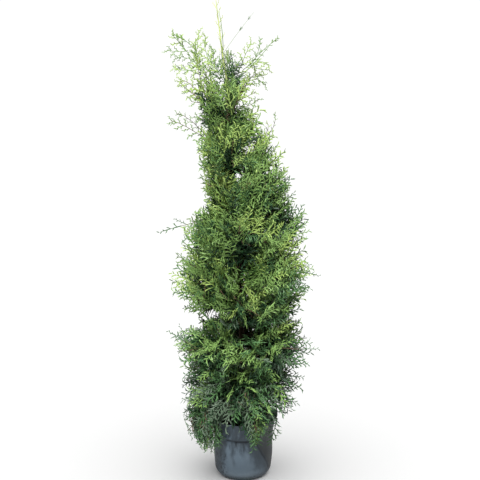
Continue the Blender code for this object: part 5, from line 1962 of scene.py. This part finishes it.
def crumb_object():
    """One lumpy crumb of unit size."""
    bm = bmesh.new()
    bmesh.ops.create_icosphere(bm, subdivisions=1, radius=0.5)
    depth, grain = CRUMB_LUMPS
    for vertex in bm.verts:
        vertex.co *= 1 + depth * noise.noise(vertex.co * grain)
    mesh = bpy.data.meshes.new("crumb")
    bm.to_mesh(mesh)
    bm.free()
    return new_object("crumb", mesh)


class THUJA_OT_soil(Operator):
    """Makes the compost in the pot, with loose crumbs on it"""

    bl_idname = "thuja.soil"
    bl_label = "Soil"

    def execute(self, context):
        settings = context.scene.thuja_pot
        material = soil_material(context.scene.thuja_colours)
        bed, edge = soil_bed()
        finish_piece(bed, material, "soil", "soil")
        crumb = crumb_object()
        crumbs = grown_mesh(
            "soil_crumbs",
            crumbed_surface(edge),
            crumb_tree(),
            Crumb=crumb,
            Density=settings.crumb_density,
            Size=settings.crumb_size,
            Seed=11,
            Material=material,
        )
        bpy.data.objects.remove(crumb, do_unlink=True)
        finish_piece(crumbs, material, "soil")
        return {"FINISHED"}


# ------------------------------------------------------------------ stage


FLOOR_SIZE = 60.0
FLOOR_COLOUR = (0.92, 0.92, 0.92)
WHITE = 1.05  # strength of the plain white behind the plant
KEY_SUN = (4, (-0.16, -0.62, 1.0))  # how soft its shadows are in degrees, and where it stands
FLOOR_SUN = (90, (0.0, -0.15, 1.0))
SENSOR = 36.0
FARTHEST = 200.0  # how far the camera sees
CAMERA_X = -0.0122


def add_sun(name, strength, softness, towards, lit):
    """A sun in one direction that lights one collection; everything shades it."""
    sun = bpy.data.lights.new(name, "SUN")
    sun.energy = strength
    sun.angle = math.radians(softness)
    light = bpy.data.objects.new(name, sun)
    light.rotation_euler = Vector(towards).to_track_quat("Z", "Y").to_euler()
    bpy.context.scene.collection.objects.link(light)
    light.light_linking.receiver_collection = lit


def add_floor():
    corners = [Vector((FLOOR_SIZE * x, FLOOR_SIZE * y, 0)) for x, y in ((-1, -1), (1, -1), (1, 1), (-1, 1))]
    floor = object_from("floor", corners, [(0, 1, 2, 3)])
    shader = Shader("floor", roughness=0.9, specular=0.1)
    shader.set("Base Color", FLOOR_COLOUR)
    floor.data.materials.append(shader.material)
    return floor


def studio_world(sky):
    """Soft even light all round, behind it white for the camera."""
    world = bpy.data.worlds.new("studio")
    world.use_nodes = True
    nodes, links = world.node_tree.nodes, world.node_tree.links
    soft, white = nodes["Background"], nodes.new("ShaderNodeBackground")
    for background, strength in ((soft, sky), (white, WHITE)):
        background.inputs["Color"].default_value = (1.0, 1.0, 1.0, 1.0)
        background.inputs["Strength"].default_value = strength
    path = nodes.new("ShaderNodeLightPath")
    mix = nodes.new("ShaderNodeMixShader")
    for number, socket in enumerate((path.outputs["Is Camera Ray"], soft.outputs[0], white.outputs[0])):
        links.new(socket, mix.inputs[number])
    links.new(mix.outputs[0], nodes["World Output"].inputs[0])
    return world


def add_camera(stage):
    camera = bpy.data.objects.new("camera", bpy.data.cameras.new("camera"))
    camera.data.lens = stage.lens
    camera.data.sensor_width = SENSOR
    camera.data.clip_end = FARTHEST
    camera.location = (CAMERA_X, -stage.camera_distance, stage.camera_height)
    camera.rotation_euler = (math.radians(90) - stage.camera_tilt, 0, 0)
    bpy.context.scene.collection.objects.link(camera)
    return camera


class THUJA_OT_stage(Operator):
    """Lays the pale floor, sets the soft light and places the camera"""

    bl_idname = "thuja.stage"
    bl_label = "Stage"

    def execute(self, context):
        scene = context.scene
        stage = scene.thuja_stage
        floor = add_floor()
        scene.world = studio_world(stage.sky)
        plant = bpy.data.collections.new("plant")
        for obj in scene.objects:
            if obj.type == "MESH" and obj is not floor:
                plant.objects.link(obj)
        ground = bpy.data.collections.new("ground")
        ground.objects.link(floor)
        add_sun("key", stage.key, *KEY_SUN, plant)
        add_sun("floor_light", stage.floor_light, *FLOOR_SUN, ground)
        scene.camera = add_camera(stage)
        scene.view_settings.view_transform = "Standard"
        return {"FINISHED"}


# ------------------------------------------------------------------ add-on

PLANT = (THUJA_OT_trunk, THUJA_OT_boughs, THUJA_OT_twigs, THUJA_OT_foliage)
OPERATORS = (*PLANT, THUJA_OT_pot, THUJA_OT_soil, THUJA_OT_stage)


class THUJA_PT_panel(Panel):
    """Lists the pieces of the thuja and their settings"""

    bl_idname = "THUJA_PT_panel"
    bl_label = "Potted Thuja"
    bl_space_type = "VIEW_3D"
    bl_region_type = "UI"
    bl_category = "Thuja"

    def draw(self, context):
        column = self.layout.column()
        for operator in OPERATORS:
            column.operator(operator.bl_idname)
        for group in SETTINGS:
            settings = getattr(context.scene, group)
            for name in settings.__annotations__:
                column.prop(settings, name)


SETTINGS = {
    "thuja_crown": ThujaCrown,
    "thuja_pot": ThujaPot,
    "thuja_colours": ThujaColours,
    "thuja_stage": ThujaStage,
}
CLASSES = (*SETTINGS.values(), *OPERATORS, THUJA_PT_panel)


def register():
    for cls in CLASSES:
        bpy.utils.register_class(cls)
    for name, group in SETTINGS.items():
        setattr(bpy.types.Scene, name, PointerProperty(type=group))


def unregister():
    for name in SETTINGS:
        delattr(bpy.types.Scene, name)
    for cls in reversed(CLASSES):
        bpy.utils.unregister_class(cls)


def main():
    register()
    for operator in OPERATORS:
        group, name = operator.bl_idname.split(".")
        getattr(getattr(bpy.ops, group), name)()


if __name__ == "__main__":
    main()
